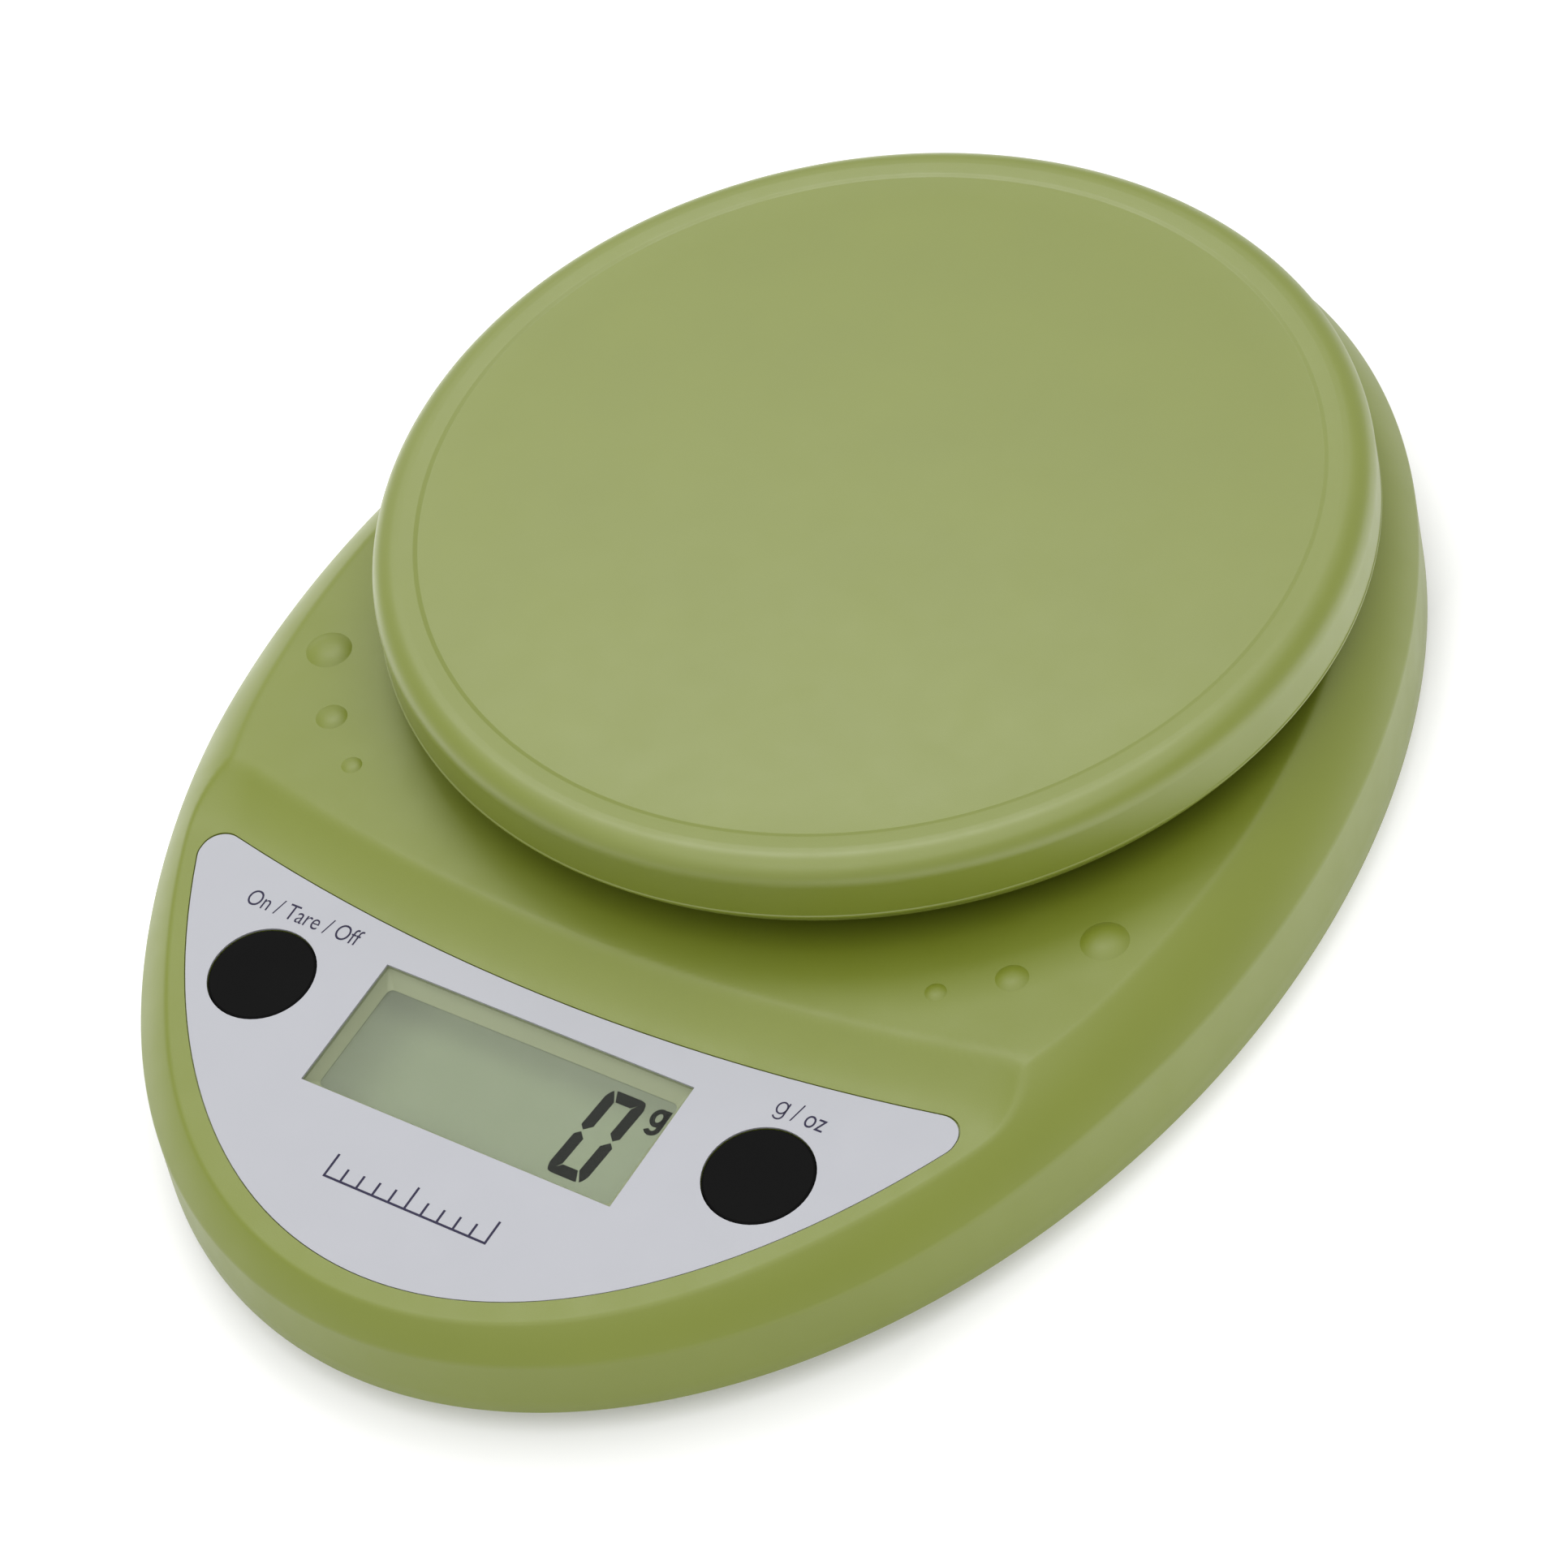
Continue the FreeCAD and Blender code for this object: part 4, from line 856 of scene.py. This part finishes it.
def lettering(name, text, box):
    """Plain words printed on the label, fitted to a (left, right, bottom, top) box."""
    curve = bpy.data.curves.new(name, "FONT")
    curve.body = text
    curve.offset = PRINT_WEIGHT
    curve.resolution_u = 6
    curve.extrude = 0.01
    writer = bpy.data.objects.new(name + "_curve", curve)
    bpy.context.scene.collection.objects.link(writer)
    graph = bpy.context.evaluated_depsgraph_get()
    mesh = bpy.data.meshes.new_from_object(writer.evaluated_get(graph))
    bpy.data.objects.remove(writer)
    xs = [v.co.x for v in mesh.vertices]
    ys = [v.co.y for v in mesh.vertices]
    zs = [v.co.z for v in mesh.vertices]
    left, right, bottom, top = box
    grow = Matrix.Diagonal((
        (right - left) / (max(xs) - min(xs)),
        (top - bottom) / (max(ys) - min(ys)),
        MARK_RISE / (max(zs) - min(zs)),
        1,
    ))
    mesh.transform(grow @ Matrix.Translation((-min(xs), -min(ys), -min(zs))))
    mesh.transform(Matrix.Translation((left, bottom, 0.0)))
    mesh.transform(PANEL_FRAME)
    mesh.transform(Matrix.Scale(MM, 4))
    piece = add_mesh(name, mesh, "case", INK)
    weld(piece)
    shade(piece)


def stroke(points, width):
    """The outline of a pen stroke of a given width along a run of points."""
    left, right = [], []
    for i, point in enumerate(points):
        before = Vector(points[max(i - 1, 0)])
        after = Vector(points[min(i + 1, len(points) - 1)])
        along = (after - before).normalized()
        side = Vector((-along.y, along.x)) * (width / 2)
        left.append(tuple(Vector(point) + side))
        right.append(tuple(Vector(point) - side))
    return right + left[::-1]


def letter_g(left, baseline, width, rise, tail, pen):
    """Strokes of a round g with an open tail."""
    half = width / 2 - pen / 2
    centre = (left + width / 2, baseline + rise / 2)
    bowl = arc_points((0, 0), 1, math.radians(2), math.radians(358), 40)
    bowl = [(centre[0] + half * x, centre[1] + (rise - pen) / 2 * y) for x, y in bowl]
    stem_x = centre[0] + half
    hook_centre = (centre[0], baseline - tail + half + pen / 2)
    hook = [(stem_x, baseline + rise), (stem_x, baseline)]
    hook += arc_points(hook_centre, half, 0, -math.radians(150), 14)
    return [stroke(bowl, pen), stroke(hook, pen)]


def rectangle(left, right, bottom, top):
    return [(left, bottom), (right, bottom), (right, top), (left, top)]


def make_marks():
    lettering("mark_power", "On / Tare / Off", (-47.93, -29.72, 9.24, 11.72))
    lettering("mark_units", "/ oz", (37.9, 42.6, 9.2, 12.0))
    gram = letter_g(left=35.3, baseline=9.5, width=1.6, rise=1.95, tail=0.85, pen=0.22)
    add_flat("mark_grams", gram, 0.0, MARK_RISE, INK)
    bars = []
    for i in range(TICK_COUNT):
        x = TICK_PITCH * (i - (TICK_COUNT - 1) / 2)
        tall = LONG_TICK if i % 5 == 0 else SHORT_TICK
        bars.append(rectangle(x - TICK_WIDTH / 2, x + TICK_WIDTH / 2, TICK_BASE, TICK_BASE + tall))
    reach = TICK_PITCH * (TICK_COUNT - 1) / 2 + TICK_WIDTH / 2
    bars.append(rectangle(-reach, reach, TICK_BASE - TICK_WIDTH, TICK_BASE))
    add_flat("mark_ticks", bars, 0.0, MARK_RISE, INK)


def make_digits():
    digit = digit_segments((15.3, -1.9), width=5.9, height=14.2, bar=1.65, lean=0.085, gap=0.32)
    unit = letter_g(left=20.0, baseline=2.35, width=2.35, rise=2.85, tail=1.35, pen=0.72)
    for name, outlines in (("display_digit", digit), ("display_unit", unit)):
        add_flat(name, outlines, DISPLAY_TOP, DISPLAY_TOP + MARK_RISE, SEGMENT)


# ---- floor, light ----

FLOOR_COLOUR = (0.75, 0.75, 0.75)
FLOOR_GLOW = (0.22, 0.85)
FLOOR_GLOW_REACH = (0.06, 0.11)
WORLD_BRIGHTNESS = 0.77
SOFTBOXES = (
    # name, place in m, width and length in m, brightness of the face
    ("overhead", (0.10, -0.10, 1.60), (2.2, 2.2), 1.1),
    ("highlight", (-0.45, 0.42, 1.07), (0.46, 0.46), 4.4),
    ("front", (-0.10, -1.10, 1.10), (1.6, 1.2), 0.45),
    ("left", (-1.30, 0.80, 0.60), (0.8, 0.8), 0.4),
)


def make_stage():
    """A pale floor that glows a little, more to either side of the scale than under it."""
    form = bmesh.new()
    bmesh.ops.create_circle(form, cap_ends=True, segments=96, radius=8.0)
    mesh = bpy.data.meshes.new("floor")
    form.to_mesh(mesh)
    form.free()
    material, shader = new_material("floor", FLOOR_COLOUR, 0.6)
    tree = material.node_tree
    vary_colour(tree, shader, FLOOR_COLOUR, size_mm=400.0, amount=0.004)
    place = tree.nodes.new("ShaderNodeTexCoord")
    split = tree.nodes.new("ShaderNodeSeparateXYZ")
    sideways = tree.nodes.new("ShaderNodeMath")
    sideways.operation = "ABSOLUTE"
    glow = tree.nodes.new("ShaderNodeMapRange")
    glow.inputs["From Min"].default_value, glow.inputs["From Max"].default_value = FLOOR_GLOW_REACH
    glow.inputs["To Min"].default_value, glow.inputs["To Max"].default_value = FLOOR_GLOW
    tree.links.new(place.outputs["Object"], split.inputs["Vector"])
    tree.links.new(split.outputs["X"], sideways.inputs[0])
    tree.links.new(sideways.outputs["Value"], glow.inputs["Value"])
    tree.links.new(glow.outputs["Result"], shader.inputs["Emission Strength"])
    shader.inputs["Emission Color"].default_value = (1, 1, 1, 1)
    mesh.materials.append(material)
    floor = bpy.data.objects.new("floor", mesh)
    bpy.context.scene.collection.objects.link(floor)


def soft_light(name, place, size, brightness):
    """A rectangular softbox facing the origin, given by the radiance of its face."""
    data = bpy.data.lights.new(name, "AREA")
    data.shape = "RECTANGLE"
    data.size, data.size_y = size
    data.energy = brightness * math.pi * data.size * data.size_y
    light = bpy.data.objects.new(name, data)
    light.location = place
    light.rotation_euler = (-Vector(place)).to_track_quat("-Z", "Y").to_euler()
    bpy.context.scene.collection.objects.link(light)


def make_light():
    world = bpy.data.worlds.new("world")
    world.use_nodes = True
    world.node_tree.nodes["Background"].inputs["Color"].default_value = (1, 1, 1, 1)
    world.node_tree.nodes["Background"].inputs["Strength"].default_value = WORLD_BRIGHTNESS
    bpy.context.scene.world = world
    for softbox in SOFTBOXES:
        soft_light(*softbox)
    bpy.context.scene.view_settings.view_transform = "Standard"


make_camera()
finish_nodes()
make_upper_shell()
make_bezel()
make_bumps()
make_platter()
make_marks()
make_digits()
make_stage()
make_light()
